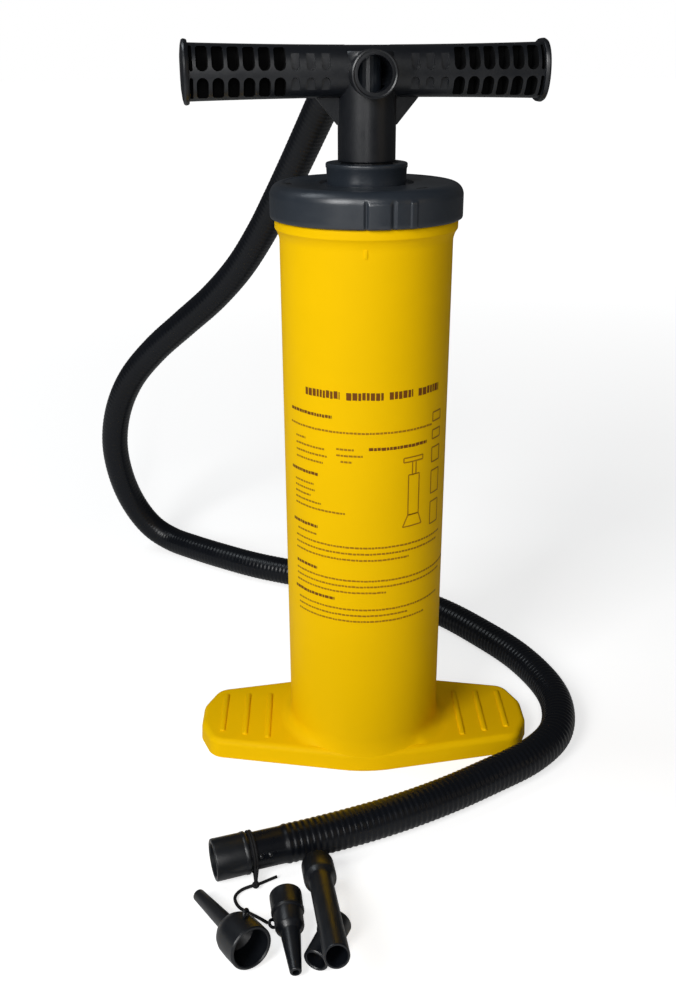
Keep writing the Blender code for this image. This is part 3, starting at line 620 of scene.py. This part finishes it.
def make_barrel():
    """The yellow moulding: barrel with its collar, fillet, ribbed feet and a gate mark."""
    bm = bmesh.new()
    add_base(bm)
    add_barrel_foot(bm)
    profile = [(BORE_R, RIM_Z), (BORE_R, BORE_FLOOR_Z), (0.0, BORE_FLOOR_Z), (0.0, BASE_TOP_Z - 1.0)]
    profile += [(BARREL_FOOT_R - 0.1, BASE_TOP_Z - 1.0), (BARREL_FOOT_R, BASE_TOP_Z + 2.0)]
    profile += [(BARREL_FOOT_R + 0.15, 120.0), (BARREL_FOOT_R + 0.35, 240.0)]
    profile += [(BARREL_TOP_R, COLLAR_Z - 13.0)]
    profile += [(BARREL_TOP_R + 0.3, COLLAR_Z - 11.0), (BARREL_TOP_R + 1.2, COLLAR_Z - 8.4)]
    profile += arc(COLLAR_R - 1.2, COLLAR_Z - 5.4, 1.2, -50.0, 0.0, 4)
    profile += arc(COLLAR_R - 0.6, COLLAR_Z - 0.6, 0.6, 0.0, 90.0, 3)
    profile += [(BARREL_TOP_R - 0.5, COLLAR_Z), (BARREL_TOP_R - 0.5, RIM_Z)]
    turned_bmesh(profile, BARREL_SEGMENTS, bm=bm)
    barrel = new_object("barrel_moulding", bm)
    dress(barrel, "yellow_plastic", "barrel", "barrel")
    mark = bmesh.new()
    turn = Matrix.Rotation(math.radians(GATE_MARK_TURN), 4, "Z")
    shift = Matrix.Translation((0.0, -BARREL_TOP_R + 0.6, GATE_MARK_Z))
    rounded_block(mark, (-1.4, -1.2, -3.0), (1.4, 1.0, 3.0), 0.9, turn @ shift)
    dress(new_object("barrel_gate_mark", mark), "yellow_plastic", "barrel")


def smooth_step(value, low, high):
    """0 below low, 1 above high, and a smooth rise between."""
    t = min(1.0, max(0.0, (value - low) / (high - low)))
    return t * t * (3.0 - 2.0 * t)


def band(turn, start, end, rise, fall):
    """1 between two angles and 0 outside, with a smooth rise and fall of given widths."""
    return smooth_step(turn, start, start + rise) * smooth_step(end - turn, 0.0, fall)


def cap_relief(azimuth, z):
    """How far the cap's side stands out: a panel between two grooves, and one rib, three times round."""
    turn = (azimuth + CAP_PANEL_TURN + 60.0) % 120.0 - 60.0
    below_top = smooth_step(CAP_TOP_Z - 5.0 - z, 0.0, 2.0)
    panel_top = CAP_TOP_Z - 6.0 - 2.5 * (smooth_step(abs(turn - 7.4), 5.0, 7.2)) ** 2
    offset = 0.55 * band(turn, 0.6, 14.2, 1.0, 1.0) * smooth_step(panel_top - z, 0.0, 1.2)
    offset -= 1.1 * band(turn, -1.3, 1.2, 1.0, 1.0) * below_top
    offset -= 0.9 * band(turn, 14.2, 17.0, 0.8, 0.8) * below_top
    offset += 0.6 * band(turn, 25.2, 30.0, 1.0, 1.0) * below_top
    return offset


def make_cap():
    """The slate cap: rounded shoulder, side relief, a moat round the gland, and three spanner slots drawn as
    thin dark patches on the top, painted shade in place of the slots' hollows.
    """
    inner_r = BARREL_TOP_R + 1.5
    profile = [(inner_r, CAP_TOP_Z - 3.5), (inner_r, CAP_BOTTOM_Z)]
    profile += [(CAP_R - 0.9, CAP_BOTTOM_Z), (CAP_R - 0.3, CAP_BOTTOM_Z + 0.4)]
    profile += [(CAP_R, CAP_BOTTOM_Z + step) for step in CAP_SIDE_STEPS]
    profile += arc(CAP_R - 7.4, CAP_TOP_Z - 7.6, 7.4, 4.0, 82.0, 12)
    profile += [(CAP_R - 8.6, CAP_TOP_Z - 0.05), (CAP_R - 9.2, CAP_TOP_Z - 0.35)]
    profile += [(CAP_R - 10.2, CAP_TOP_Z - 0.4), (31.0, CAP_TOP_Z - 0.4), (29.6, CAP_TOP_Z - 0.6)]
    profile += [(29.0, CAP_TOP_Z - 2.2), (24.0, CAP_TOP_Z - 2.4)]
    profile += [(22.0, CAP_TOP_Z - 2.4), (22.0, CAP_TOP_Z - 3.5)]
    bm = bmesh.new()
    rings = []
    for radius, z in profile:
        ring = []
        for step in range(CAP_SEGMENTS):
            azimuth = 360.0 * step / CAP_SEGMENTS
            reach = radius
            if radius > CAP_R - 3.0:
                reach += cap_relief(azimuth, z)
            angle = math.radians(azimuth)
            ring.append(bm.verts.new((reach * math.cos(angle), reach * math.sin(angle), z)))
        rings.append(ring)
    add_rings(bm, rings)
    dress(new_object("cap_moulding", bm, 50.0), "slate_plastic", "barrel", "cap")
    # Spanner slots: thin dark patches barely proud of the top, painted shade standing in for the hollows of
    # the slots
    slots = bmesh.new()
    shift = Matrix.Translation((SLOT_RADIUS, 0.0, CAP_TOP_Z - 0.42))
    for turn in SLOT_TURNS:
        matrix = Matrix.Rotation(math.radians(turn), 4, "Z") @ shift
        rounded_block(slots, (-1.6, -4.2, -0.3), (1.6, 4.2, 0.12), 0.1, matrix)
    dress(new_object("cap_slot_painted_shade", slots), "rubber", "barrel")


def make_gland():
    """The gland on the cap, with a lip and a hollow round the neck."""
    top = GLAND_TOP_Z
    profile = [(GLAND_R - 0.6, CAP_TOP_Z - 2.0), (21.7, CAP_TOP_Z - 2.0), (21.7, CAP_TOP_Z - 9.5)]
    profile += [(19.2, CAP_TOP_Z - 9.5), (19.2, top - 2.6), (ROD_R + 0.5, top - 2.6)]
    profile += [(ROD_R + 0.5, top - 1.0), (NECK_R + 1.4, top - 1.0), (NECK_R + 2.2, top - 0.1)]
    profile += arc(GLAND_R - 0.5, top - 0.9, 0.9, 90.0, 0.0, 4)
    profile += [(GLAND_R + 0.4, top - 2.6), (GLAND_R, top - 3.2), (GLAND_R - 0.4, CAP_TOP_Z + 1.0)]
    dress(lathe("gland_moulding", profile, 128), "slate_plastic", "barrel", "gland")


def grip_half_height(x):
    """Half height of the grip, which thickens a little towards its ends."""
    return 14.7 + 1.5 * (abs(x) / GRIP_HALF_LENGTH) ** 2


def grip_half_depth(x):
    """Half depth of the grip, front to back."""
    return 13.4 + 0.9 * (abs(x) / GRIP_HALF_LENGTH) ** 2


def add_section(bm, x, half_depth, half_height, around):
    """A ring of points across the handle's bar: an oval a little squarer than an ellipse."""
    ring = []
    for step in range(around):
        angle = 2.0 * math.pi * step / around
        y = half_depth * math.copysign(abs(math.sin(angle)) ** DEPTH_POWER, math.sin(angle))
        z = half_height * math.copysign(abs(math.cos(angle)) ** HEIGHT_POWER, math.cos(angle))
        ring.append(bm.verts.new((x, y, GRIP_Z + z)))
    return ring


def add_grip_half(bm, side):
    """One half of the grip as a closed skin, flange included."""
    rings = []
    sections = [(14.0 + 4.0 * step, 0.0) for step in range(23)]
    sections += [(GRIP_HALF_LENGTH + beyond, grow) for beyond, grow in FLANGE]
    for x, grow in sections:
        rings.append(add_section(bm, side * x, grip_half_depth(x) + grow, grip_half_height(x) + grow, 96))
    add_rings(bm, rings, closed=False)
    bm.faces.new(rings[0])
    bm.faces.new(rings[-1])


def add_pocket(bm, centre, half_width, low, high, depth, signs, finish):
    """A U-shaped cutter: round at the spine, straight up to the grip's edge, and wider outside."""
    side, front, up = signs
    rings = []
    for y, spread in ((depth, -0.25), (18.0, 0.2)):
        width = half_width + spread
        outline = []
        for step in range(11):
            angle = math.pi * step / 10.0
            outline.append((-width * math.cos(angle), low + half_width - width * math.sin(angle)))
        chamfer = 0.3 * width
        outline += [(width, high - chamfer), (width - chamfer, high)]
        outline += [(chamfer - width, high), (-width, high - chamfer)]
        ring = []
        for x, z in outline:
            ring.append(bm.verts.new((side * (centre + x), front * y, PORT_Z + up * z)))
        rings.append(ring)
    before = set(bm.faces)
    add_rings(bm, rings, closed=False)
    bm.faces.new(rings[0])
    bm.faces.new(rings[-1])
    # The cutter's faces carry the material index given as finish; index 1 is the painted shade of the deep
    # pockets
    for face in set(bm.faces) - before:
        face.material_index = finish


def make_pockets():
    """All the cutters of the grip's pockets: shallow ones next to the hub, deep ones further out, which carry
    the painted shade material.
    """
    bm = bmesh.new()
    for index in range(POCKET_COUNT + 1):
        centre = RIB_FIRST_X + RIB_PITCH * (index + 0.5)
        half_width = 3.4
        high = grip_half_height(centre) - 1.8
        depth = 1.3
        finish = 1
        if index < SHALLOW_POCKETS:
            half_width = 2.7
            high -= 2.8
            depth = grip_half_depth(centre) - 2.6
            finish = 0
        if index == POCKET_COUNT:
            centre = GRIP_HALF_LENGTH - 4.6
            half_width = 0.95
        for signs in itertools.product((-1, 1), repeat=3):
            top = high - signs[2] * (PORT_Z - GRIP_Z)
            add_pocket(bm, centre, half_width, 1.8, top, depth, signs, finish)
    return new_object("pockets", bm)


def apply_modifiers(obj):
    """Make the result of a piece's modifiers its mesh."""
    depsgraph = bpy.context.evaluated_depsgraph_get()
    mesh = bpy.data.meshes.new_from_object(obj.evaluated_get(depsgraph))
    obj.modifiers.clear()
    obj.data = mesh


def apply_boolean(obj, other, operation):
    """Combine two pieces with an exact Boolean and remove the second."""
    modifier = obj.modifiers.new("cut", "BOOLEAN")
    modifier.operation = operation
    modifier.object = other
    modifier.solver = "EXACT"
    apply_modifiers(obj)
    bpy.data.objects.remove(other, do_unlink=True)


def make_hub():
    """The handle's middle: neck, port boss and gussets, with the port and the sockets cut through."""
    neck = [(0.0, GRIP_Z + 11.0), (NECK_R - 1.0, GRIP_Z + 11.0), (NECK_R, GRIP_Z + 9.0)]
    neck += [(NECK_R, NECK_BOTTOM_Z + 0.8), (NECK_R - 0.8, NECK_BOTTOM_Z), (0.0, NECK_BOTTOM_Z)]
    hub = new_object("hub", turned_bmesh(neck, 96, closed=False))
    forward = port_matrix(90.0)
    rim = arc(PORT_OUTER_R - 0.6, PORT_FACE_Y - 0.6, 0.6, 0.0, 90.0, 3)
    back_rim = arc(PORT_OUTER_R - 0.6, -PORT_FACE_Y + 0.6, 0.6, -90.0, 0.0, 3)
    boss = lathe("boss", [(0.0, -PORT_FACE_Y)] + back_rim + rim + [(0.0, PORT_FACE_Y)], 96, forward)
    apply_boolean(hub, boss, "UNION")
    middle = bmesh.new()
    rings = []
    for x in (-19.0, -10.0, 0.0, 10.0, 19.0):
        rings.append(add_section(middle, x, 13.2, 14.6, 64))
    add_rings(middle, rings, closed=False)
    middle.faces.new(rings[0])
    middle.faces.new(rings[-1])
    apply_boolean(hub, new_object("middle", middle), "UNION")
    for side in (-1, 1):
        web = bmesh.new()
        front = [web.verts.new((side * x, -WEB_HALF_THICKNESS, z)) for x, z in WEB_OUTLINE]
        back = [web.verts.new((side * x, WEB_HALF_THICKNESS, z)) for x, z in WEB_OUTLINE]
        add_rings(web, [front, back], closed=False)
        web.faces.new(front)
        web.faces.new(back)
        apply_boolean(hub, new_object("web", web), "UNION")
    sockets = [(0.0, NECK_BOTTOM_Z - 2.0), (ROD_R + 0.3, NECK_BOTTOM_Z - 2.0)]
    sockets += [(ROD_R + 0.3, ROD_SOCKET_TOP_Z), (AIR_SOCKET_R, ROD_SOCKET_TOP_Z)]
    sockets += [(AIR_SOCKET_R, AIR_SOCKET_TOP_Z), (0.0, AIR_SOCKET_TOP_Z)]
    apply_boolean(hub, new_object("sockets", turned_bmesh(sockets, 64, closed=False)), "DIFFERENCE")
    bore = [(0.0, -30.0), (PORT_R, -30.0), (PORT_R, 30.0), (0.0, 30.0)]
    bore = turned_bmesh(bore, 96, closed=False, matrix=forward)
    apply_boolean(hub, new_object("bore", bore), "DIFFERENCE")
    return hub


def make_handle():
    """The T handle: ribbed grips on the hub, and the ring lip round the front port."""
    bm = bmesh.new()
    for side in (-1, 1):
        add_grip_half(bm, side)
    handle = new_object("handle_moulding", bm, 38.0)
    handle.data.materials.append(look("black_plastic"))
    # Second material: painted shade, a darker black that the deep pockets' walls and floors take from their
    # cutters
    handle.data.materials.append(look("pocket_shade"))
    apply_boolean(handle, make_pockets(), "DIFFERENCE")
    chamfer = handle.modifiers.new("chamfer", "BEVEL")
    chamfer.width = 0.00055
    chamfer.segments = 1
    chamfer.limit_method = "ANGLE"
    chamfer.angle_limit = math.radians(50.0)
    apply_modifiers(handle)
    hub = make_hub()
    bm = bmesh.new()
    bm.from_mesh(handle.data)
    bm.from_mesh(hub.data)
    bpy.data.objects.remove(hub, do_unlink=True)
    bmesh.ops.transform(bm, matrix=handle_matrix(), verts=bm.verts)
    bm.to_mesh(handle.data)
    bm.free()
    handle.data.shade_smooth()
    handle.data.set_sharp_from_angle(angle=math.radians(38.0))
    dress(handle, "black_plastic", "handle", "handle")
    lip = [(PORT_OUTER_R + 0.25, 24.2), (PORT_OUTER_R + 0.25, 25.3), (PORT_OUTER_R - 0.5, 25.7),
           (PORT_OUTER_R - 1.3, 25.3), (PORT_OUTER_R - 1.3, 24.2)]
    forward = port_matrix(90.0)
    dress(lathe("front_port_lip", lip, 96, handle_matrix() @ forward), "black_plastic", "handle")


def smooth_route(points, spacing):
    """Points at a steady spacing along a Catmull-Rom curve through given points."""
    ends = [Vector(p) for p in points]
    ends.insert(0, ends[0] * 2.0 - ends[1])
    ends.append(ends[-1] * 2.0 - ends[-2])
    dense = []
    for index in range(1, len(ends) - 2):
        p0, p1, p2, p3 = ends[index - 1:index + 3]
        for step in range(20):
            t = step / 20.0
            dense.append(0.5 * (
                2.0 * p1 + (p2 - p0) * t + (2.0 * p0 - 5.0 * p1 + 4.0 * p2 - p3) * t * t
                + (3.0 * p1 - p0 - 3.0 * p2 + p3) * t ** 3
            ))
    dense.append(ends[-2])
    lengths = [0.0]
    for before, after in zip(dense, dense[1:]):
        lengths.append(lengths[-1] + (after - before).length)
    count = max(4, round(lengths[-1] / spacing))
    even = []
    place_at = 0
    for step in range(count + 1):
        wanted = lengths[-1] * step / count
        while place_at < len(lengths) - 2 and lengths[place_at + 1] < wanted:
            place_at += 1
        span = lengths[place_at + 1] - lengths[place_at]
        even.append(dense[place_at].lerp(dense[place_at + 1], (wanted - lengths[place_at]) / span))
    return even


def route_length(points):
    """Length of a run of points."""
    return sum((b - a).length for a, b in zip(points, points[1:]))


def add_sweep(bm, points, radii, segments):
    """A tube of changing radius along points, closed at both ends, with its rings kept from twisting."""
    tangent = (points[1] - points[0]).normalized()
    side = tangent.orthogonal().normalized()
    rings = []
    for index, point in enumerate(points):
        ahead = points[min(index + 1, len(points) - 1)]
        behind = points[max(index - 1, 0)]
        following = (ahead - behind).normalized()
        side = (tangent.rotation_difference(following) @ side).normalized()
        tangent = following
        other = tangent.cross(side)
        ring = []
        for step in range(segments):
            angle = 2.0 * math.pi * step / segments
            spoke = side * math.cos(angle) + other * math.sin(angle)
            ring.append(bm.verts.new(point + spoke * radii[index]))
        rings.append(ring)
    add_rings(bm, rings, closed=False)
    bm.faces.new(rings[0])
    bm.faces.new(rings[-1])


def make_hose():
    """The corrugated hose, smooth for a short way at the lower cuff and shallower in its upper run."""
    points = smooth_route(HOSE_ROUTE, HOSE_PITCH / 4.0)
    total = route_length(points)
    radii = []
    for index in range(len(points)):
        along = total * index / (len(points) - 1)
        if total - along < SLEEVE_LENGTH - 3.0:
            radii.append(SLEEVE_R)
            continue
        depth = HOSE_DEPTH * (0.3 + 0.7 * smooth_step(along / total, 0.45, 0.62))
        radii.append(HOSE_R - depth * (1.0 - HOSE_WAVE[index % len(HOSE_WAVE)]))
    bm = bmesh.new()
    add_sweep(bm, points, radii, HOSE_SEGMENTS)
    hose = dress(new_object("hose_corrugated", bm, 60.0), "hose_plastic", None, "hose")
    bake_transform(hose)


def make_inlet_cuff():
    """The hose's upper cuff behind the handle, with finger ribs."""
    back = handle_matrix() @ port_matrix(-90.0)
    plug_r = PORT_R - 0.3
    profile = [(plug_r, 14.2), (8.2, 14.2), (8.2, 76.8), (CUFF_R - 1.4, 76.8), (CUFF_R - 0.8, 76.2)]
    profile += [(CUFF_R - 0.2, 72.0)]
    for start in FINGER_RIB_STARTS:
        profile += [(CUFF_R - 0.1, start), (CUFF_R + 0.4, start - 0.8)]
        profile += [(CUFF_R + 0.4, start - 2.0), (CUFF_R - 0.1, start - 2.8)]
    profile += [(CUFF_R, 31.5), (CUFF_R + 0.9, 30.6), (CUFF_R + 1.0, 30.0)]
    profile += [(CUFF_R + 1.0, 26.0), (CUFF_R + 0.5, 25.5), (plug_r, 25.5)]
    dress(lathe("hose_inlet_sleeve", profile, 96, back), "black_plastic", "handle", "hose_inlet_cuff")


def make_end_cuff():
    """The lower cuff with its rounded rim, the liner in its mouth and two small pips on the sleeve."""
    heading = end_heading()
    mouth = Vector(MOUTH)
    matrix = lay_matrix(mouth, mouth + heading)
    profile = [(CUFF_BORE_R, END_CUFF_LENGTH), (CUFF_BORE_R, 0.8), (CUFF_BORE_R + 0.6, 0.1)]
    profile += [(END_CUFF_R - 1.4, 0.0)]
    profile += arc(END_CUFF_R - 1.0, 1.0, 1.0, -90.0, 0.0, 4)
    profile += [(END_CUFF_R - 0.1, 18.8), (END_CUFF_R + 0.2, 19.2)]
    profile += arc(END_CUFF_R - 0.4, 21.0, 0.7, 0.0, 80.0, 3)
    profile += [(END_CUFF_R - 1.2, 22.0), (END_CUFF_R - 1.3, END_CUFF_LENGTH)]
    cuff = dress(lathe("hose_end_sleeve", profile, 96, matrix), "black_plastic", "barrel", "hose_end_cuff")
    liner = [(CUFF_BORE_R - 0.2, 5.0), (LINER_R + 0.3, 5.0), (LINER_R, 5.4), (LINER_R, 23.0)]
    liner += [(CUFF_BORE_R - 0.2, 23.0)]
    socket = dress(lathe("hose_end_liner", liner, 64, matrix), "slate_plastic", "barrel", "hose_end_socket")
    pips = bmesh.new()
    pip = [(0.0, SLEEVE_R + 0.9), (0.9, SLEEVE_R + 0.6), (1.6, SLEEVE_R - 0.3), (0.0, SLEEVE_R - 0.4)]
    tilt = Matrix.Rotation(math.radians(END_ANGLE), 4, "Z") @ Matrix.Rotation(math.radians(72.0), 4, "X")
    for along in PIPS_ALONG:
        centre = Matrix.Translation(mouth + heading * along) @ tilt
        turned_bmesh(pip, 20, closed=False, bm=pips, matrix=centre)
    pips = dress(new_object("hose_sleeve_pips", pips), "black_plastic", "barrel")
    return [cuff, socket, pips]


def make_strap():
    """The thin strap round the sleeve and its tail down to the knot."""
    heading = end_heading()
    centre = Vector(MOUTH) + heading * STRAP_ALONG
    knot = Vector(KNOT_TAIL[0])
    outward = knot - centre
    outward = (outward - heading * outward.dot(heading)).normalized()
    other = heading.cross(outward)
    bm = bmesh.new()
    for shift in (-STRAP_HALF_PITCH, STRAP_HALF_PITCH):
        loop = []
        for step in range(49):
            angle = math.radians(18.0 + (342.0 - 18.0) * step / 48)
            spoke = outward * math.cos(angle) + other * math.sin(angle)
            loop.append(centre + heading * shift + spoke * (SLEEVE_R + STRAP_R))
        loop.insert(0, knot.lerp(loop[0], 0.12))
        loop.append(knot.lerp(loop[-1], 0.12))
        add_sweep(bm, loop, [STRAP_R] * len(loop), 12)
    return dress(new_object("tether_band", bm), "rubber", "barrel", "tether_strap")


def make_knot():
    """A small overhand knot: three turns of cord about each other, and a free tail."""
    centre = Vector(KNOT)
    bm = bmesh.new()
    for tilt, turn in KNOT_TURNS:
        matrix = Matrix.Rotation(math.radians(turn), 3, "Z") @ Matrix.Rotation(math.radians(tilt), 3, "X")
        loop = []
        for step in range(25):
            angle = 2.0 * math.pi * step / 24
            loop.append(centre + matrix @ Vector((1.5 * math.cos(angle), 1.5 * math.sin(angle), 0.0)))
        add_sweep(bm, loop, [0.9] * len(loop), 10)
    tail = smooth_route(KNOT_TAIL, 1.5)
    add_sweep(bm, tail, [0.95] * len(tail), 10)
    return dress(new_object("tether_knot_turns", bm), "rubber", "barrel", "tether_knot")


def make_tether():
    """The thin cord from the knot past the first nozzle's lug to the second nozzle."""
    points = smooth_route(TETHER_ROUTE, 1.0)
    bm = bmesh.new()
    add_sweep(bm, points, [TETHER_R] * len(points), 12)
    cord = dress(new_object("tether_line", bm), "rubber", "barrel", "tether_cord")


def make_lug(name, place, axis):
    """A small moulded eye that the cord passes through."""
    bm = bmesh.new()
    matrix = lay_matrix(Vector(place), Vector(place) + Vector(axis))
    rings = []
    for step in range(28):
        turn = 2.0 * math.pi * step / 28
        ring = []
        for corner in range(12):
            angle = 2.0 * math.pi * corner / 12
            reach = 2.3 + 0.95 * math.cos(angle)
            point = Vector((reach * math.cos(turn), reach * math.sin(turn), 0.95 * math.sin(angle)))
            ring.append(bm.verts.new(matrix @ point))
        rings.append(ring)
    add_rings(bm, rings)
    return dress(new_object(name, bm), "black_plastic", "barrel")


def make_nozzles():
    """The four nozzles, each hollow right through, with rims, steps and raised rings."""
    cup = [(12.3, 0.0), (11.4, 0.0), (10.8, 0.6), (10.8, 17.0), (3.4, 22.0), (2.2, 63.8), (2.9, 63.8)]
    cup += arc(2.9, 63.0, 0.8, 90.0, 0.0, 3)
    cup += [(5.0, 27.5), (5.6, 26.0), (6.6, 25.2), (10.2, 22.2), (11.6, 20.0)]
    cup += [(12.5, 17.0), (12.7, 14.0), (12.9, 9.0), (12.9, 0.7)]
    matrix = lay_matrix((-72.0, -234.1, 15.2), (-107.2, -181.6, 6.1))
    dress(lathe("nozzle_long_tip_body", cup, 96, matrix), "black_plastic", "barrel", "nozzle_long_tip")
    domed = [(9.2, 0.0), (8.2, 0.0), (7.6, 0.6), (7.6, 22.0), (3.4, 26.0), (2.0, 54.1), (2.7, 54.1)]
    domed += arc(2.6, 53.3, 0.8, 90.0, 0.0, 3)
    domed += [(5.9, 28.0), (6.4, 27.0), (8.2, 24.8), (8.6, 23.6), (8.7, 14.4)]
    domed += [(9.4, 14.1), (9.8, 13.4), (9.8, 12.0), (9.5, 11.4), (9.7, 2.0), (9.6, 0.5)]
    matrix = lay_matrix((-54.5, -188.6, 11.5), (-47.5, -241.9, 5.1))
    dress(lathe("nozzle_domed_body", domed, 96, matrix), "black_plastic", "barrel", "nozzle_domed")
    stepped = [(9.6, 0.0), (8.8, 0.0), (8.2, 0.6), (8.2, 19.0), (5.6, 23.0), (5.4, 113.6)]
    stepped += [(5.8, 114.2), (6.6, 114.2), (7.0, 113.6), (7.2, 24.0), (7.6, 22.4)]
    stepped += [(9.2, 20.8), (9.9, 19.6), (10.0, 18.0), (10.0, 0.6)]
    matrix = lay_matrix((-35.3, -163.6, 11.0), (-25.2, -271.7, 46.4))
    dress(lathe("nozzle_stepped_body", stepped, 96, matrix), "black_plastic", "barrel", "nozzle_stepped")
    wide = [(8.6, 0.0), (7.8, 0.0), (7.2, 0.6), (7.2, 8.0), (5.6, 12.0), (5.6, 30.2)]
    wide += [(6.0, 30.7), (7.0, 30.7), (7.4, 30.2), (7.4, 13.0)]
    wide += [(7.8, 11.6), (8.6, 10.4), (8.9, 9.4), (8.9, 0.6)]
    matrix = lay_matrix((-23.8, -208.7, 9.6), (-36.6, -236.4, 7.8))
    dress(lathe("nozzle_wide_body", wide, 96, matrix), "black_plastic", "barrel", "nozzle_wide")
    make_lug("nozzle_long_tip_lug", (-75.5, -220.5, 27.3), (1.0, -0.4, 0.2))
    return make_lug("nozzle_domed_lug", (-61.6, -203.4, 3.4), (0.6, -0.4, 1.0))


def barrel_radius(z):
    """Radius of the barrel's outside at a height."""
    share = (z - BASE_TOP_Z) / (COLLAR_Z - 13.0 - BASE_TOP_Z)
    return BARREL_FOOT_R + (BARREL_TOP_R - BARREL_FOOT_R) * share


def add_mark(bm, start, end, low, high):
    """One printed patch on the barrel between two azimuths and two heights."""
    steps = max(1, math.ceil(abs(end - start) / 1.5))
    columns = []
    for step in range(steps + 1):
        angle = math.radians(start + (end - start) * step / steps)
        column = []
        for z in (low, high):
            radius = barrel_radius(z) + 0.06
            column.append(bm.verts.new((radius * math.cos(angle), radius * math.sin(angle), z)))
        columns.append(column)
    for left, right in zip(columns, columns[1:]):
        bm.faces.new((left[0], right[0], right[1], left[1]))


def add_dashes(bm, dice, start, end, z, height, longest, gap):
    """A row of plain dashes of uneven length, with no letters in it."""
    at = start
    while at < end:
        length = min(end - at, longest * (0.45 + 0.55 * dice.random()))
        lift = height * 0.12 * (dice.random() - 0.5)
        add_mark(bm, at, at + length, z - height / 2.0 + lift, z + height / 2.0 + lift)
        at += length + gap


def add_outline(bm, points, width):
    """A closed thin printed line through (azimuth, z) points."""
    for (a0, z0), (a1, z1) in zip(points, points[1:] + points[:1]):
        if abs(a1 - a0) < 0.01:
            add_mark(bm, a0 - width / 2.0, a0 + width / 2.0, min(z0, z1), max(z0, z1))
        elif abs(z1 - z0) < 0.01:
            add_mark(bm, min(a0, a1), max(a0, a1), z0 - width / 2.0, z0 + width / 2.0)
        else:
            steps = 10
            for step in range(steps):
                az = a0 + (a1 - a0) * (step + 0.5) / steps
                z = z0 + (z1 - z0) * (step + 0.5) / steps
                reach = abs(z1 - z0) / steps / 2.0 + 0.1
                add_mark(bm, az - width / 2.0, az + width / 2.0, z - reach, z + reach)


def make_print():
    """Letterless marks where the barrel has print: a bold row, headings, dashes and a plain pictogram."""
    dice = random.Random(7)
    bold = bmesh.new()
    for start, end in TITLE_WORDS:
        add_dashes(bold, dice, start, end, TITLE_Z, TITLE_HEIGHT, 3.4, 0.75)
    for start, end, z in HEADINGS:
        add_dashes(bold, dice, start, end, z, HEADING_HEIGHT, 3.2, 0.5)
    dress(new_object("barrel_marks_bold", bold), "ink", "barrel")
    fine = bmesh.new()
    for start, end, z in LINES:
        add_dashes(fine, dice, start, end, z, LINE_HEIGHT, 3.0, 0.5)
    for outline in PICTOGRAM:
        add_outline(fine, outline, 0.9)
    left, right = BOX_SIDES
    for top, bottom in BOX_ROWS:
        add_outline(fine, ((left, top), (right, top), (right, bottom), (left, bottom)), 1.0)
    dress(new_object("barrel_marks_fine", fine), "fine_ink", "barrel")


INNER = {
    "rod_tube": "black_plastic", "air_tube": "slate_plastic", "rear_elbow": "black_plastic",
    "neck_pin": "steel", "inlet_o_ring": "rubber", "cap_gasket": "rubber", "rod_seal": "rubber",
    "guide_bush": "white_plastic", "bottom_bumper": "rubber", "top_bumper": "rubber",
    "piston_ring": "rubber", "piston_lid": "white_plastic", "piston_base": "white_plastic",
}
"""CAD nodes that show as they are, with their finishes."""


def finish_inner(frame):
    """CAD nodes that stay as they are get the detailed finishes."""
    slots = dict(INNER)
    for number in range(1, 5):
        slots[f"piston_screw_{number}"] = "steel"
    for valve in ("intake_upper", "intake_lower", "outlet_upper", "outlet_lower"):
        slots[f"{valve}_post"] = "white_plastic"
        slots[f"{valve}_flap"] = "rubber"
    for node, slot_name in slots.items():
        frame["nodes"][node].data.materials.clear()
        frame["nodes"][node].data.materials.append(look(slot_name))


def main():
    """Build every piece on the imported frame."""
    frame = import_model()
    make_camera()
    make_studio()
    make_barrel()
    make_cap()
    make_gland()
    make_handle()
    make_inlet_cuff()
    on_hose = make_end_cuff() + [make_strap()]
    make_hose()
    knot = make_knot()
    lug = make_nozzles()
    make_tether()
    make_print()
    finish_inner(frame)


main()
